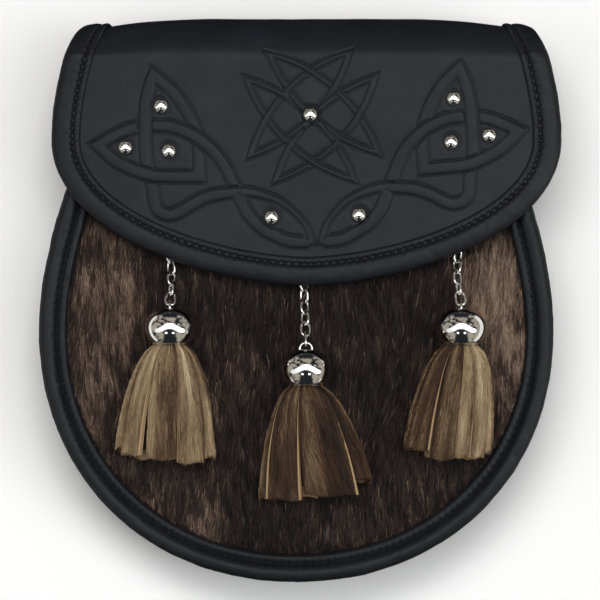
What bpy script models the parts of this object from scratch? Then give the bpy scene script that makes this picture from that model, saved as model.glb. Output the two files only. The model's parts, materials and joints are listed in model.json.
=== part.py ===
"""A semi-dress sporran: a leather pouch with a fur front, a flap folded over its top and three tassels.

It lies on its back, as it would on a table. Lengths here are millimetres, and add_solid turns them
into Blender's metres. +X runs to its right as it is seen, +Y to its top and +Z out of its front.
The origin is on the surface under it, below the middle of its outline.

The pouch is leather plates on a bent side wall, with rolled bindings clipped over the plates' edges.
The flap is drawn flat first, as the sheet is cut, and then laid along its bent path.
"""

import math
from collections import namedtuple

import bmesh
import bpy
from mathutils import Matrix, Vector

# ---- driving sizes -------------------------------------------------------------------------------

MM = 0.001
GAP = 0.3  # between pieces that touch
LEATHER = 2.0  # thickness of the plates and of the flap
SMOOTH_ANGLE = math.radians(35)

# Outline of the pouch, from the middle of its bottom edge to the middle of its top edge.
BODY_X = -1.3  # the flap is sewn on a little to the right of the pouch
BODY_HALF_WIDTH = 91.2
BODY_BOTTOM = -100.0
WIDEST_Y = -10.6
BOTTOM_FULLNESS = 2.1  # exponent of the bottom's superellipse: 2 is an ellipse
SHOULDER = (68.0, 72.0)  # where the side ends and the top corner begins
CORNER_END = (54.0, 81.0)
TOP_Y = 82.5

# Heights of the layers, from the surface that the pouch lies on.
BACK_FACE = 6.2  # outer face of the back plate, sunk in its binding
FRONT_EDGE = 31.4  # underside of the front plate at its edge
PLATE_INSET = 2.0  # the plates' edges inside the bindings
GUSSET_THICKNESS = 1.8
GUSSET_INSET = 1.8
GUSSET_WAIST = 3.6  # how far the side wall has drawn in at half its depth

# Fur front: hide with its pile laid down, domed over the middle.
FUR_INSET = 10.1
FUR_DEPTH = 3.2
FUR_RISE = 1.3  # pile beside the binding, above the plate's edge
FUR_DOME = 1.6  # further rise to the middle
DOME_REACH = 34.0  # from the pouch's edge to where the dome is level

# Flap, as a flat sheet: x across from its middle, s up from its tip.
FLAP_X = 2.3
FLAP_TIP_Y = 5.1
FLAP_FRONT = 42.7  # height of the middle of the sheet over the front
FLAP_BACK = BACK_FACE - GAP - LEATHER / 2
FOLD_Y = 85.0  # the straight front ends and the fold over the top begins
FOLD_REACH = 14.0  # how far the fold stands out past that line
FOLD_DROOP = 2.0  # loss of that reach at the ends of the fold
DROOP_FROM = 35.0
DROOP_TO = 66.0
CROWN = 2.6  # the sides of the flap lie this much lower than its middle
CROWN_HALF_WIDTH = 88.0
FLAP_HALF_WIDTH = 90.1
FLAP_WIDEST_S = 53.6
RIM_END = (79.3, 113.0)  # where the flap's binding stops, behind the fold
FLAP_EDGE_INSET = 1.9  # edge of the sheet inside its binding
BACK_LEAF_HALF_WIDTH = 54.0
BACK_LEAF_LENGTH = 33.0
BACK_LEAF_CORNER = 9.0
FLAP_COLUMNS = 10

STUD_SIDES = 12
SNAP_PLACE = (2.3, 26.0)
SNAP_RADIUS = 6.0
SNAP_SIDES = 12

# Chain links, and the wire eyes that hold them.
LINK_LENGTH = 6.4
LINK_WIDTH = 4.3
LINK_WIRE = 0.95
LINK_SQUARENESS = 2.5
LINK_STEPS = 12
WIRE_SIDES = 5
STAPLE_RING_RADIUS = 1.75
STAPLE_WIRE = 0.8
STAPLE_STEPS = 7
STAPLE_PLATE_RADIUS = 1.9
STAPLE_PLATE_SIDES = 10
STAPLE_PLATE_THICKNESS = 0.6
EYE_RING_RADIUS = 2.2
EYE_WIRE = 1.0
EYE_TOP = 2.4  # middle of the eye's wire above the cap's top

# Tassel caps and skirts.
CAP_RADIUS = 9.04
CAP_LENGTH = 12.8
CAP_WIDEST = 6.6  # below the cap's top
CAP_TOP_BULGE = 7.4
CAP_BOTTOM_BULGE = 8.5
CAP_WALL = 0.9
CAP_SIDES = 14
HEAD_RADIUS = 4.5
STRIP_COUNT = 10
STRIP_GAP = 0.12  # share of a strip's width left open beside it at the hem
STRIP_STAGGER = 0.10  # every other strip lies this share further in at the hem
NOTCH_DEPTH = 0.45
NOTCH_RISE = 3.0
HEM_FAN = 3.0  # the strips at the sides end this much higher than those in the middle
HEM_UNEVEN = 0.8
SKIRT_TAIL_HALF_HEIGHT = 5.4

# Loops on the back for a belt strap.
LOOP_HALF_WIDTH = 7.0
LOOP_X = 38.0
LOOP_LOW_Y = 6.0
LOOP_LENGTH = 40.0
LOOP_FOOT = 5.0
LOOP_THICKNESS = 1.6

# ---- short tables --------------------------------------------------------------------------------

# Sections of the bindings: u in from the outline and height. Each is a C round a plate's edge.
FRONT_RIM_SECTION = [
    (1.0, 30.0), (0.0, 31.6), (0.0, 34.4), (1.1, 36.4), (3.1, 37.0), (5.0, 36.5), (6.4, 34.8),
    (7.2, 35.3), (9.2, 35.2), (9.8, 34.4), (9.8, 33.7), (1.7, 33.7), (1.7, 31.1), (5.0, 31.1),
    (5.0, 30.0),
]
BACK_RIM_SECTION = [
    (1.0, 9.6), (0.0, 8.0), (0.0, 3.0), (0.9, 0.9), (2.6, 0.0), (5.0, 0.0), (6.6, 0.9),
    (7.3, 3.4), (8.0, 4.3), (10.2, 4.6), (10.2, 5.9), (1.7, 5.9), (1.7, 8.5), (5.0, 8.5), (5.0, 9.6),
]
# The flap's binding: u in from its edge and height above the middle of the sheet.
FLAP_RIM_SECTION = [
    (0.9, -2.2), (0.0, -0.9), (0.0, 1.2), (1.2, 2.4), (3.6, 2.9), (6.2, 2.6), (7.3, 1.9),
    (8.0, 2.4), (9.6, 2.2), (10.1, 1.5), (1.6, 1.5), (1.6, -1.4), (5.0, -1.4), (5.0, -2.2),
]
# Domed rivets: radius and height above the flap.
STUD_SECTION = [(2.65, 0.0), (2.3, 1.0), (1.25, 1.75)]

Stud = namedtuple("Stud", "x y")
STUDS = [
    Stud(-49.2, 68.5), Stud(-61.8, 53.9), Stud(-46.4, 52.6), Stud(3.6, 65.5), Stud(54.3, 71.2),
    Stud(66.9, 58.2), Stud(53.4, 55.8), Stud(-10.1, 29.2), Stud(20.8, 30.1),
]

# cap_x, cap_top: place of the cap's top. chain_x, bow: top of its chain, and how far the chain bends
# aside. roll: turn of the last link about the chain, and of the cap's eye with it. tail_left,
# tail_right, tail_y: sides of the skirt and the lowest point of its hem. slant: fall of the hem from
# left to right.
Tassel = namedtuple(
    "Tassel", "name cap_x cap_top chain_x bow links roll tail_left tail_right tail_y slant"
)
TASSELS = [
    Tassel("left", -45.9, -3.0, -46.3, 0.7, 5, 0.0, -64.6, -30.4, -56.8, 3.0),
    Tassel("middle", 2.1, -17.5, 1.3, 0.0, 6, 90.0, -12.6, 25.3, -69.4, -6.0),
    Tassel("right", 56.9, -3.0, 56.9, -1.4, 6, 0.0, 37.5, 66.9, -55.8, 2.0),
]

# Down a skirt: share of the way from the cap's mouth to the hem (below 0 is inside the cap), how far
# it swells past the straight line, and how far the strips have parted.
Section = namedtuple("Section", "share swell parting")
SKIRT_SECTIONS = [
    Section(-0.35, 0.0, 0.0), Section(0.0, 0.3, 0.0), Section(0.07, 2.9, 0.1), Section(0.28, 4.0, 0.25),
    Section(0.63, 2.9, 0.6), Section(1.0, 0.0, 1.0),
]

# ---- materials and solids ------------------------------------------------------------------------


def material(name, colour, roughness, metallic=0.0):
    """A plain finish for one piece."""
    made = bpy.data.materials.new(name)
    made.use_nodes = True
    shader = made.node_tree.nodes["Principled BSDF"]
    shader.inputs["Base Color"].default_value = (*colour, 1.0)
    shader.inputs["Roughness"].default_value = roughness
    shader.inputs["Metallic"].default_value = metallic
    return made


def black_leather(name):
    return material(name, (0.018, 0.018, 0.020), 0.42)


def back_leather(name):
    return material(name, (0.022, 0.021, 0.021), 0.6)


def fur(name):
    return material(name, (0.075, 0.055, 0.042), 0.8)


def hair_hide(name):
    return material(name, (0.20, 0.14, 0.075), 0.75)


def chrome(name):
    return material(name, (0.80, 0.79, 0.77), 0.12, 1.0)


def add_solid(name, points, faces, finish):
    """One closed solid from points in millimetres, with its faces turned outwards."""
    mesh = bpy.data.meshes.new(name)
    mesh.from_pydata([Vector(p) * MM for p in points], [], faces)
    shape = bmesh.new()
    shape.from_mesh(mesh)
    bmesh.ops.recalc_face_normals(shape, faces=shape.faces)
    shape.to_mesh(mesh)
    shape.free()
    mesh.shade_smooth()
    mesh.set_sharp_from_angle(angle=SMOOTH_ANGLE)
    mesh.materials.append(finish(name))
    solid = bpy.data.objects.new(name, mesh)
    bpy.context.scene.collection.objects.link(solid)
    return solid


def loft(name, rings, finish, ends="cap", wrap=False):
    """Joins equal rings of points into a solid.

    ends says how it closes: cap is one face, slab is a row of quads between a ring's first half and
    its second half run back, and fan is triangles to the ring's middle.
    """
    size = len(rings[0])
    points = [point for ring in rings for point in ring]
    faces = []
    for row in range(len(rings) if wrap else len(rings) - 1):
        this_row = row * size
        next_row = (row + 1) % len(rings) * size
        for i in range(size):
            j = (i + 1) % size
            faces.append((this_row + i, this_row + j, next_row + j, next_row + i))
    for first in () if wrap else (0, (len(rings) - 1) * size):
        if ends == "cap":
            faces.append(tuple(range(first, first + size)))
        elif ends == "slab":
            for i in range(size // 2 - 1):
                last = first + size - 1
                faces.append((first + i, first + i + 1, last - i - 1, last - i))
        else:
            ring = points[first : first + size]
            points.append(sum((Vector(p) for p in ring), Vector()) / size)
            for i in range(size):
                faces.append((first + i, first + (i + 1) % size, len(points) - 1))
    return add_solid(name, points, faces, finish)


def join_solids(solid, tools):
    """Fuses the tools to the solid with a union, and hides them."""
    for tool in tools:
        tool.hide_render = True
        tool.display_type = "WIRE"
        union = solid.modifiers.new("join_" + tool.name, "BOOLEAN")
        union.operation = "UNION"
        union.object = tool


# ---- curves --------------------------------------------------------------------------------------


def bezier(start, leave, arrive, end, count):
    """count + 1 points along a cubic curve."""
    made = []
    for k in range(count + 1):
        t = k / count
        r = 1 - t
        made.append(
            Vector(start) * r**3
            + Vector(leave) * 3 * r * r * t
            + Vector(arrive) * 3 * r * t * t
            + Vector(end) * t**3
        )
    return made


def chain_curves(*curves):
    """Curves that follow each other, without the doubled points between them."""
    made = list(curves[0])
    for curve in curves[1:]:
        made += curve[1:]
    return made


def inward(before, here, after):
    """The mitred vector to the left of a path, one unit in from both of its edges."""
    normals = []
    for low, high in ((before, here), (here, after)):
        along = (high - low).normalized()
        normals.append(Vector((-along.y, along.x)))
    return (normals[0] + normals[1]) / (1 + normals[0].dot(normals[1]))


Station = namedtuple("Station", "place inward")


def closed_stations(half):
    """Stations round a loop that is the same on both sides, from its right half, bottom to top."""
    loop = half + [Vector((-p.x, p.y)) for p in reversed(half[1:-1])]
    following = loop[1:] + loop[:1]
    return [Station(loop[i], inward(loop[i - 1], loop[i], following[i])) for i in range(len(loop))]


def open_stations(half):
    """Stations along a path from its left end through its lowest point to its right end."""
    path = [Vector((-p.x, p.y)) for p in reversed(half[1:])] + half
    run = [2 * path[0] - path[1]] + path + [2 * path[-1] - path[-2]]
    return [Station(run[i], inward(run[i - 1], run[i], run[i + 1])) for i in range(1, len(run) - 1)]


def superellipse_point(angle, reach_x, reach_y, power):
    """A point on a superellipse about the origin."""
    c, s = math.cos(angle), math.sin(angle)
    return Vector(
        (
            reach_x * math.copysign(abs(c) ** (2 / power), c),
            reach_y * math.copysign(abs(s) ** (2 / power), s),
        )
    )


# ---- the pouch's body ----------------------------------------------------------------------------

BOTTOM_STEPS = 11
SIDE_STEPS = 5
CORNER_STEPS = 4
TOP_STEPS = 3


def body_half_outline():
    """The right half of the pouch's outline, from the bottom's middle to the top's middle."""
    depth = WIDEST_Y - BODY_BOTTOM
    bottom = []
    for k in range(BOTTOM_STEPS + 1):
        point = superellipse_point(
            math.radians(90) * (k / BOTTOM_STEPS - 1), BODY_HALF_WIDTH, depth, BOTTOM_FULLNESS
        )
        bottom.append(point + Vector((0, WIDEST_Y)))
    bottom[0].x = 0.0
    widest = (BODY_HALF_WIDTH, WIDEST_Y)
    side = bezier(widest, (BODY_HALF_WIDTH, 18.0), (78.0, 52.0), SHOULDER, SIDE_STEPS)
    corner = bezier(SHOULDER, (65.2, 76.6), (62.0, 80.3), CORNER_END, CORNER_STEPS)
    top = bezier(CORNER_END, (38.0, 82.2), (18.0, TOP_Y), (0.0, TOP_Y), TOP_STEPS)
    return chain_curves(bottom, side, corner, top)


BODY = closed_stations(body_half_outline())


def body_point(station, inset, height):
    """A point of the body: inset from the outline at a station, at a height."""
    flat = station.place + station.inward * inset
    return (flat.x + BODY_X, flat.y, height)


def round_the_sides(last):
    """The body's stations from the left shoulder through the bottom to the right one."""
    return [BODY[i] for i in range(-last, last + 1)]


SHOULDER_STATION = BOTTOM_STEPS + SIDE_STEPS


def plate_ring(inset, height):
    return [body_point(station, inset, height) for station in BODY]


def edge_distance(x, y):
    """How far a point is in from the pouch's outline."""
    here = Vector((x - BODY_X, y))
    nearest = math.inf
    for i, station in enumerate(BODY):
        start = station.place
        edge = BODY[(i + 1) % len(BODY)].place - start
        along = min(1.0, max(0.0, (here - start).dot(edge) / edge.length_squared))
        nearest = min(nearest, (here - start - edge * along).length)
    return nearest


def fur_top(x, y):
    """Height of the fur over a point of the front."""
    reach = (edge_distance(x, y) - FUR_INSET) / (DOME_REACH - FUR_INSET)
    left_over = 1 - min(1.0, max(0.0, reach))
    return FRONT_EDGE + LEATHER + FUR_RISE + FUR_DOME * (1 - left_over**2)


def front_panel():
    """The fur front: thin at its edge, where the binding holds it, and thicker with fur inside that."""
    middle = Vector((BODY_X, -8.0))
    top_rings, under_rings = [], []
    for share in (0.0, 0.13, 0.32, 0.62):
        top, under = [], []
        for x, y, _ in plate_ring(FUR_INSET + 0.1, 0.0):
            point = Vector((x, y)).lerp(middle, share)
            height = fur_top(point.x, point.y)
            top.append((point.x, point.y, height))
            under.append((point.x, point.y, max(FRONT_EDGE, height - FUR_DEPTH)))
        top_rings.append(top)
        under_rings.append(under)
    edge_top = FRONT_EDGE + LEATHER
    rings = list(reversed(top_rings))
    rings += [plate_ring(FUR_INSET, edge_top), plate_ring(PLATE_INSET, edge_top)]
    rings += [plate_ring(PLATE_INSET, FRONT_EDGE)] + under_rings[1::2]
    loft("front_panel", rings, fur, ends="fan")


def back_panel():
    rings = [plate_ring(PLATE_INSET, BACK_FACE), plate_ring(PLATE_INSET, BACK_FACE + LEATHER)]
    loft("back_panel", rings, back_leather)


def front_rim():
    rings = [[body_point(station, u, z) for u, z in FRONT_RIM_SECTION] for station in BODY]
    loft("front_rim", rings, black_leather, wrap=True)


def back_rim():
    """Open at the top, where the flap comes over the back plate's edge."""
    path = round_the_sides(SHOULDER_STATION)
    rings = [[body_point(station, u, z) for u, z in BACK_RIM_SECTION] for station in path]
    loft("back_rim", rings, black_leather)


def gusset():
    """The side wall between the two bindings, drawn in at half its depth."""
    low = BACK_RIM_SECTION[0][1] + GAP
    high = FRONT_RIM_SECTION[0][1] - GAP
    waist = GUSSET_INSET + GUSSET_WAIST / 2
    third = (high - low) / 3
    levels = [(GUSSET_INSET, low), (waist, low + third), (waist, high - third), (GUSSET_INSET, high)]
    rings = []
    for station in round_the_sides(SHOULDER_STATION + 1):
        outer = [body_point(station, u, z) for u, z in levels]
        inner = [body_point(station, u + GUSSET_THICKNESS, z) for u, z in reversed(levels)]
        rings.append(outer + inner)
    loft("gusset", rings, black_leather, ends="slab")


def strap_loop(name, x):
    """A strip sewn down at both ends, standing off the back far enough for a belt strap."""
    top = BACK_FACE - GAP
    low, high = LOOP_LOW_Y, LOOP_LOW_Y + LOOP_LENGTH
    bend = LOOP_THICKNESS
    section = [
        (low, top), (low, top - LOOP_THICKNESS), (low + LOOP_FOOT - bend, top - LOOP_THICKNESS),
        (low + LOOP_FOOT, 0.0), (high - LOOP_FOOT, 0.0),
        (high - LOOP_FOOT + bend, top - LOOP_THICKNESS), (high, top - LOOP_THICKNESS), (high, top),
        (high - LOOP_FOOT, top), (high - LOOP_FOOT - bend, LOOP_THICKNESS),
        (low + LOOP_FOOT + bend, LOOP_THICKNESS), (low + LOOP_FOOT, top),
    ]
    rings = [[(x + side * LOOP_HALF_WIDTH, y, z) for y, z in section] for side in (-1, 1)]
    loft(name, rings, back_leather)


# ---- the flap ------------------------------------------------------------------------------------

FOLD_S = FOLD_Y - FLAP_TIP_Y
FOLD_RISE = (FLAP_FRONT - FLAP_BACK) / 2
FOLD_MIDDLE = (FLAP_FRONT + FLAP_BACK) / 2
FOLD_LENGTH = math.pi * math.sqrt((FOLD_REACH**2 + FOLD_RISE**2) / 2)
BACK_LEAF_S = FOLD_S + FOLD_LENGTH


def flap_place(x, s, height):
    """Where a point of the flat sheet comes to lie, at a height above the middle of the sheet."""
    crown = CROWN * (abs(x) / CROWN_HALF_WIDTH) ** 4
    if s <= FOLD_S:
        return (x + FLAP_X, FLAP_TIP_Y + s, FLAP_FRONT - crown + height)
    if s >= BACK_LEAF_S:
        return (x + FLAP_X, FOLD_Y - (s - BACK_LEAF_S), FLAP_BACK - height)
    turn = math.pi * (s - FOLD_S) / FOLD_LENGTH
    past = max(0.0, abs(x) - DROOP_FROM) / (DROOP_TO - DROOP_FROM)
    reach = FOLD_REACH - FOLD_DROOP * past**2
    outward = Vector((math.sin(turn) / reach, math.cos(turn) / FOLD_RISE)).normalized()
    y = FOLD_Y + reach * math.sin(turn) + outward.x * height
    z = FOLD_MIDDLE + FOLD_RISE * math.cos(turn) + outward.y * height
    return (x + FLAP_X, y, z - crown * (1 + math.cos(turn)) / 2)


def flap_half_outline():
    """The right half of the bound edge, from the tip to where the binding stops."""
    widest = (FLAP_HALF_WIDTH, FLAP_WIDEST_S)
    lower = bezier((0.0, 0.0), (36.0, 1.0), (92.0, 18.5), widest, 9)
    upper = bezier(widest, (FLAP_HALF_WIDTH, 72.0), (81.5, 92.0), RIM_END, 12)
    return chain_curves(lower, upper)


FLAP_EDGE = open_stations(flap_half_outline())


def flap():
    """The sheet, as rows across it from the tip, over the fold and down the back."""
    middle = len(FLAP_EDGE) // 2
    bound = [station.place + station.inward * FLAP_EDGE_INSET for station in FLAP_EDGE[middle + 1 :]]
    last = bound[-1]
    leaf = BACK_LEAF_HALF_WIDTH
    end = BACK_LEAF_S + BACK_LEAF_LENGTH
    leaf_start = (leaf, BACK_LEAF_S)
    over = bezier(last, (last.x - 2.0, last.y + 9.0), (leaf + 4.0, BACK_LEAF_S - 6.0), leaf_start, 6)
    cut = BACK_LEAF_CORNER
    corner = bezier((leaf, end - cut), (leaf, end - cut / 3), (leaf - cut / 3, end), (leaf - cut, end), 3)
    half = LEATHER / 2
    rings = []
    for edge in chain_curves(bound, over) + corner:
        across = [edge.x * (2 * i / FLAP_COLUMNS - 1) for i in range(FLAP_COLUMNS + 1)]
        top = [flap_place(x, edge.y, half) for x in across]
        under = [flap_place(x, edge.y, -half) for x in reversed(across)]
        rings.append(top + under)
    loft("flap", rings, black_leather, ends="slab")


def flap_rim():
    rings = []
    for station in FLAP_EDGE:
        ring = []
        for inset, height in FLAP_RIM_SECTION:
            flat = station.place + station.inward * inset
            ring.append(flap_place(flat.x, flat.y, height))
        rings.append(ring)
    loft("flap_rim", rings, black_leather)


def studs():
    """Rivets that stand square on the flap."""
    base = LEATHER / 2 + GAP
    for number, stud in enumerate(STUDS, 1):
        rings = []
        for radius, height in STUD_SECTION:
            ring = []
            for i in range(STUD_SIDES):
                angle = 2 * math.pi * i / STUD_SIDES
                x = stud.x - FLAP_X + radius * math.cos(angle)
                s = stud.y - FLAP_TIP_Y + radius * math.sin(angle)
                ring.append(flap_place(x, s, base + height))
            rings.append(ring)
        loft(f"stud_{number}", rings, chrome, ends="fan")


def flap_snap():
    """The hidden fastener, from the fur to the underside of the flap."""
    x, y = SNAP_PLACE
    levels = [fur_top(x, y) + GAP, FLAP_FRONT - LEATHER / 2 - GAP]
    loft("flap_snap", [turned_ring((x, y, z), SNAP_RADIUS, SNAP_SIDES, "XY") for z in levels], chrome)


def turned_ring(middle, radius, sides, plane):
    """A circle of points about a middle, in the plane XY or XZ."""
    ring = []
    for i in range(sides):
        angle = 2 * math.pi * i / sides
        a, b = radius * math.cos(angle), radius * math.sin(angle)
        ring.append(Vector(middle) + (Vector((a, b, 0)) if plane == "XY" else Vector((a, 0, b))))
    return ring


# ---- the tassels ---------------------------------------------------------------------------------

WIRE_REACH = (LINK_LENGTH - LINK_WIRE) / 2
WIRE_CLEARANCE = (LINK_WIRE + GAP) / 2  # from a joint to the middles of the two wires at it
PITCH = 2 * (WIRE_REACH - WIRE_CLEARANCE)
CHAIN_HALF_HEIGHT = (LINK_WIDTH - LINK_WIRE) / 2 * math.sin(math.radians(45)) + LINK_WIRE / 2
CHAIN_RISE_POWER = 1.4


def cap_axis_height(tassel):
    """Height of the middle line of a cap that lies on the fur."""
    return fur_top(tassel.cap_x, tassel.cap_top - CAP_WIDEST) + GAP + CAP_RADIUS


def chain_joints(tassel):
    """Where the links meet, from the cap's eye up to the staple.

    The chain lies on the fur under the flap and climbs to the cap's eye. Each step up it is one
    pitch long, so the last joint falls where the number of links puts it.
    """
    eye = Vector((tassel.cap_x, tassel.cap_top + EYE_TOP - WIRE_CLEARANCE, cap_axis_height(tassel)))
    length = PITCH * tassel.links * 0.96
    level = fur_top(tassel.chain_x, eye.y + length) + GAP + CHAIN_HALF_HEIGHT
    climb = length - PITCH * 1.5

    def on_route(run):
        share = min(1.0, run / length)
        x = tassel.cap_x + (tassel.chain_x - tassel.cap_x) * share
        x += tassel.bow * math.sin(math.pi * share)
        left = max(0.0, 1 - run / climb)
        return Vector((x, eye.y + run, level + (eye.z - level) * left**CHAIN_RISE_POWER))

    joints, run = [on_route(0.0)], 0.0
    for _ in range(tassel.links):
        low, high = run, run + PITCH
        for _ in range(40):
            run = (low + high) / 2
            if (on_route(run) - joints[-1]).length < PITCH:
                low = run
            else:
                high = run
        joints.append(on_route(run))
    return joints


def wire_ring(name, path, sideways, wire, finish):
    """A closed loop of wire along a ring of points, with a side direction for its section."""
    count = len(path)
    rings = []
    for i, point in enumerate(path):
        along = (path[(i + 1) % count] - path[i - 1]).normalized()
        out = along.cross(sideways)
        ring = []
        for k in range(WIRE_SIDES):
            angle = 2 * math.pi * k / WIRE_SIDES
            ring.append(point + (out * math.cos(angle) + sideways * math.sin(angle)) * wire / 2)
        rings.append(ring)
    return loft(name, rings, finish, wrap=True)


def link(name, start, end, roll):
    """One oval link between two joints, rolled about the line between them."""
    middle = (start + end) / 2
    along = (end - start).normalized()
    level = Vector((0, 0, 1)).cross(along).normalized()
    width = Matrix.Rotation(roll, 3, along) @ level
    half_width = (LINK_WIDTH - LINK_WIRE) / 2
    path = []
    for i in range(LINK_STEPS):
        angle = 2 * math.pi * (i + 0.5) / LINK_STEPS
        flat = superellipse_point(angle, WIRE_REACH, half_width, LINK_SQUARENESS)
        path.append(middle + along * flat.x + width * flat.y)
    wire_ring(name, path, along.cross(width), LINK_WIRE, chrome)


def chain(tassel):
    """Links at right angles to each other, which turn to 45 degrees where they lie on the fur."""
    joints = chain_joints(tassel)
    for number in range(tassel.links):
        turned = 45.0 * min(1.0, number / 2)
        roll = math.radians(tassel.roll + 90.0 * number + turned)
        above = tassel.links - number
        link(f"chain_{tassel.name}_link_{above}", joints[number], joints[number + 1], roll)
    return joints


def staple(tassel, top_joint, link_below):
    """A wire D standing on the fur, which the chain's top link runs through, with its small plate."""
    towards = (link_below - top_joint).normalized()
    middle = top_joint + towards * WIRE_CLEARANCE - Vector((0, towards.y, 0)) * STAPLE_RING_RADIUS
    middle.z = top_joint.z - STAPLE_RING_RADIUS / 4
    ground = fur_top(middle.x, middle.y) + GAP
    foot = Vector((0, 0, ground + STAPLE_WIRE / 2 - middle.z))
    path = []
    for i in range(STAPLE_STEPS + 1):
        angle = math.pi * i / STAPLE_STEPS
        path.append(middle + Vector((0, math.cos(angle), math.sin(angle))) * STAPLE_RING_RADIUS)
    for side in (-1, 0, 1):
        path.append(middle + foot + Vector((0, side * STAPLE_RING_RADIUS, 0)))
    name = f"chain_staple_{tassel.name}"
    wire = wire_ring(name + "_wire", path, Vector((1, 0, 0)), STAPLE_WIRE, chrome)
    plate_y = middle.y + STAPLE_RING_RADIUS + STAPLE_PLATE_RADIUS / 2
    disc = []
    for z in (ground, ground + STAPLE_PLATE_THICKNESS):
        disc.append(turned_ring((middle.x, plate_y, z), STAPLE_PLATE_RADIUS, STAPLE_PLATE_SIDES, "XY"))
    plate = loft(name, disc, chrome)
    join_solids(plate, [wire])


def cap_radius(below):
    """Outer radius of a cap at a distance below its top."""
    bulge = CAP_TOP_BULGE if below < CAP_WIDEST else CAP_BOTTOM_BULGE
    return CAP_RADIUS * math.sqrt(1 - ((below - CAP_WIDEST) / bulge) ** 2)


def tassel_cap(tassel):
    """A hollow dome, open at the bottom, with a wire eye on its top."""
    height = cap_axis_height(tassel)

    def ring(below, radius):
        return turned_ring((tassel.cap_x, tassel.cap_top - below, height), radius, CAP_SIDES, "XZ")

    outside = [ring(below, cap_radius(below)) for below in (0.0, 1.2, 3.4, 6.6, 9.4, 11.5, CAP_LENGTH)]
    inside = [ring(below, cap_radius(below) - CAP_WALL) for below in (CAP_LENGTH - 0.01, 9.4, 6.6)]
    name = f"tassel_cap_{tassel.name}"
    cap = loft(name, outside + inside + [ring(CAP_WALL, 3.0)], chrome, ends="fan")
    path = []
    flat = tassel.roll == 0.0
    for i in range(LINK_STEPS):
        angle = 2 * math.pi * (i + 0.5) / LINK_STEPS
        across = math.cos(angle) * EYE_RING_RADIUS
        up = EYE_TOP + (math.sin(angle) - 1) * EYE_RING_RADIUS
        offset = Vector((0, up, across)) if flat else Vector((across, up, 0))
        path.append(Vector((tassel.cap_x, tassel.cap_top, height)) + offset)
    sideways = Vector((1, 0, 0)) if flat else Vector((0, 0, 1))
    eye = wire_ring(name + "_eye", path, sideways, EYE_WIRE, chrome)
    join_solids(cap, [eye])


def skirt_point(tassel, section, angle, inset, hem):
    """A point of a skirt's section: about its middle line, in from its outer form by a share."""
    axis_z = cap_axis_height(tassel)
    mouth_y = tassel.cap_top - CAP_LENGTH
    run = max(0.0, section.share)
    tail_x = (tassel.tail_left + tassel.tail_right) / 2
    tail_z = fur_top(tail_x, tassel.tail_y) + GAP + SKIRT_TAIL_HALF_HEIGHT
    spread = (tassel.tail_right - tassel.tail_left) / 2
    wide = HEAD_RADIUS + (spread - HEAD_RADIUS) * run + section.swell
    high = HEAD_RADIUS + (SKIRT_TAIL_HALF_HEIGHT - HEAD_RADIUS) * run + section.swell / 2
    y = mouth_y - run * (mouth_y - hem) - min(0.0, section.share) * CAP_LENGTH
    return (
        tassel.cap_x + (tail_x - tassel.cap_x) * run + wide * inset * math.cos(angle),
        y,
        axis_z + (tail_z - axis_z) * run + high * inset * math.sin(angle),
    )


def tassel_skirt(tassel):
    """Strips of hair-on hide hanging from the head that the cap holds.

    The strips are one shell that parts into its strips towards the hem, with a notch between each two.
    """
    part = 2 * math.pi / STRIP_COUNT
    rings = []
    for section in SKIRT_SECTIONS:
        ring = []
        for number in range(STRIP_COUNT):
            middle = part * (number + 0.5)
            outer = 1 - section.parting * STRIP_STAGGER * (number % 2)
            for turn in (-0.5, 0.0, 0.5):
                angle = middle + turn * part * (1 - section.parting * STRIP_GAP)
                across = math.cos(middle)
                hem = tassel.tail_y + HEM_FAN * across**2 - tassel.slant * across / 2
                hem += HEM_UNEVEN * (math.sin(3 * middle) + turn)
                ring.append(skirt_point(tassel, section, angle, outer, hem))
            notch = 1 - section.parting * NOTCH_DEPTH
            notch_y = tassel.tail_y + HEM_FAN + NOTCH_RISE
            ring.append(skirt_point(tassel, section, middle + part / 2, notch, notch_y))
        rings.append(ring)
    loft(f"tassel_skirt_{tassel.name}", rings, hair_hide, ends="fan")


# ---- the whole -----------------------------------------------------------------------------------


def clear_scene():
    for old in list(bpy.data.objects):
        bpy.data.objects.remove(old, do_unlink=True)


def main():
    clear_scene()
    back_panel()
    back_rim()
    gusset()
    front_panel()
    front_rim()
    strap_loop("strap_loop_left", BODY_X - LOOP_X)
    strap_loop("strap_loop_right", BODY_X + LOOP_X)
    flap()
    flap_rim()
    flap_snap()
    studs()
    for tassel in TASSELS:
        joints = chain(tassel)
        staple(tassel, joints[-1], joints[-2])
        tassel_cap(tassel)
        tassel_skirt(tassel)


main()
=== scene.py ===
"""Looks of a leather sporran pouch: fur front, pressed and riveted flap, chains and hair tassels.

It is laid out as a Blender add-on and run as a script. Each piece is worked out in millimetres, in the
frame of the packed model, and becomes metres in add_piece. +X runs to the pouch's right as it is seen,
+Y to its top and +Z out of its front, which lies face up.
"""

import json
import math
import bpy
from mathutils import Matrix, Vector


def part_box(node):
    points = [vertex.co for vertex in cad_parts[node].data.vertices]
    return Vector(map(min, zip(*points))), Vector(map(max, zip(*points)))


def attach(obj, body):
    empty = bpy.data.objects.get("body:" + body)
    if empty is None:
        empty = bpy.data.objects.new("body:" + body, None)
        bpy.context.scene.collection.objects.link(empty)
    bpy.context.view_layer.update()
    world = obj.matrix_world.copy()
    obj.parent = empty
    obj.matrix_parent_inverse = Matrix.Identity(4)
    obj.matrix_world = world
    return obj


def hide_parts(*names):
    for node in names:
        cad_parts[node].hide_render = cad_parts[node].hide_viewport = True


bl_info = {
    "name": "Sporran Pouch",
    "version": (1, 0, 0),
    "blender": (4, 5, 0),
    "location": "View3D > Sidebar > Pouch",
    "description": "Makes the leather, fur, chains and tassels of a sporran pouch round its packed model",
    "category": "Add Mesh",
}

from collections import namedtuple

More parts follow.
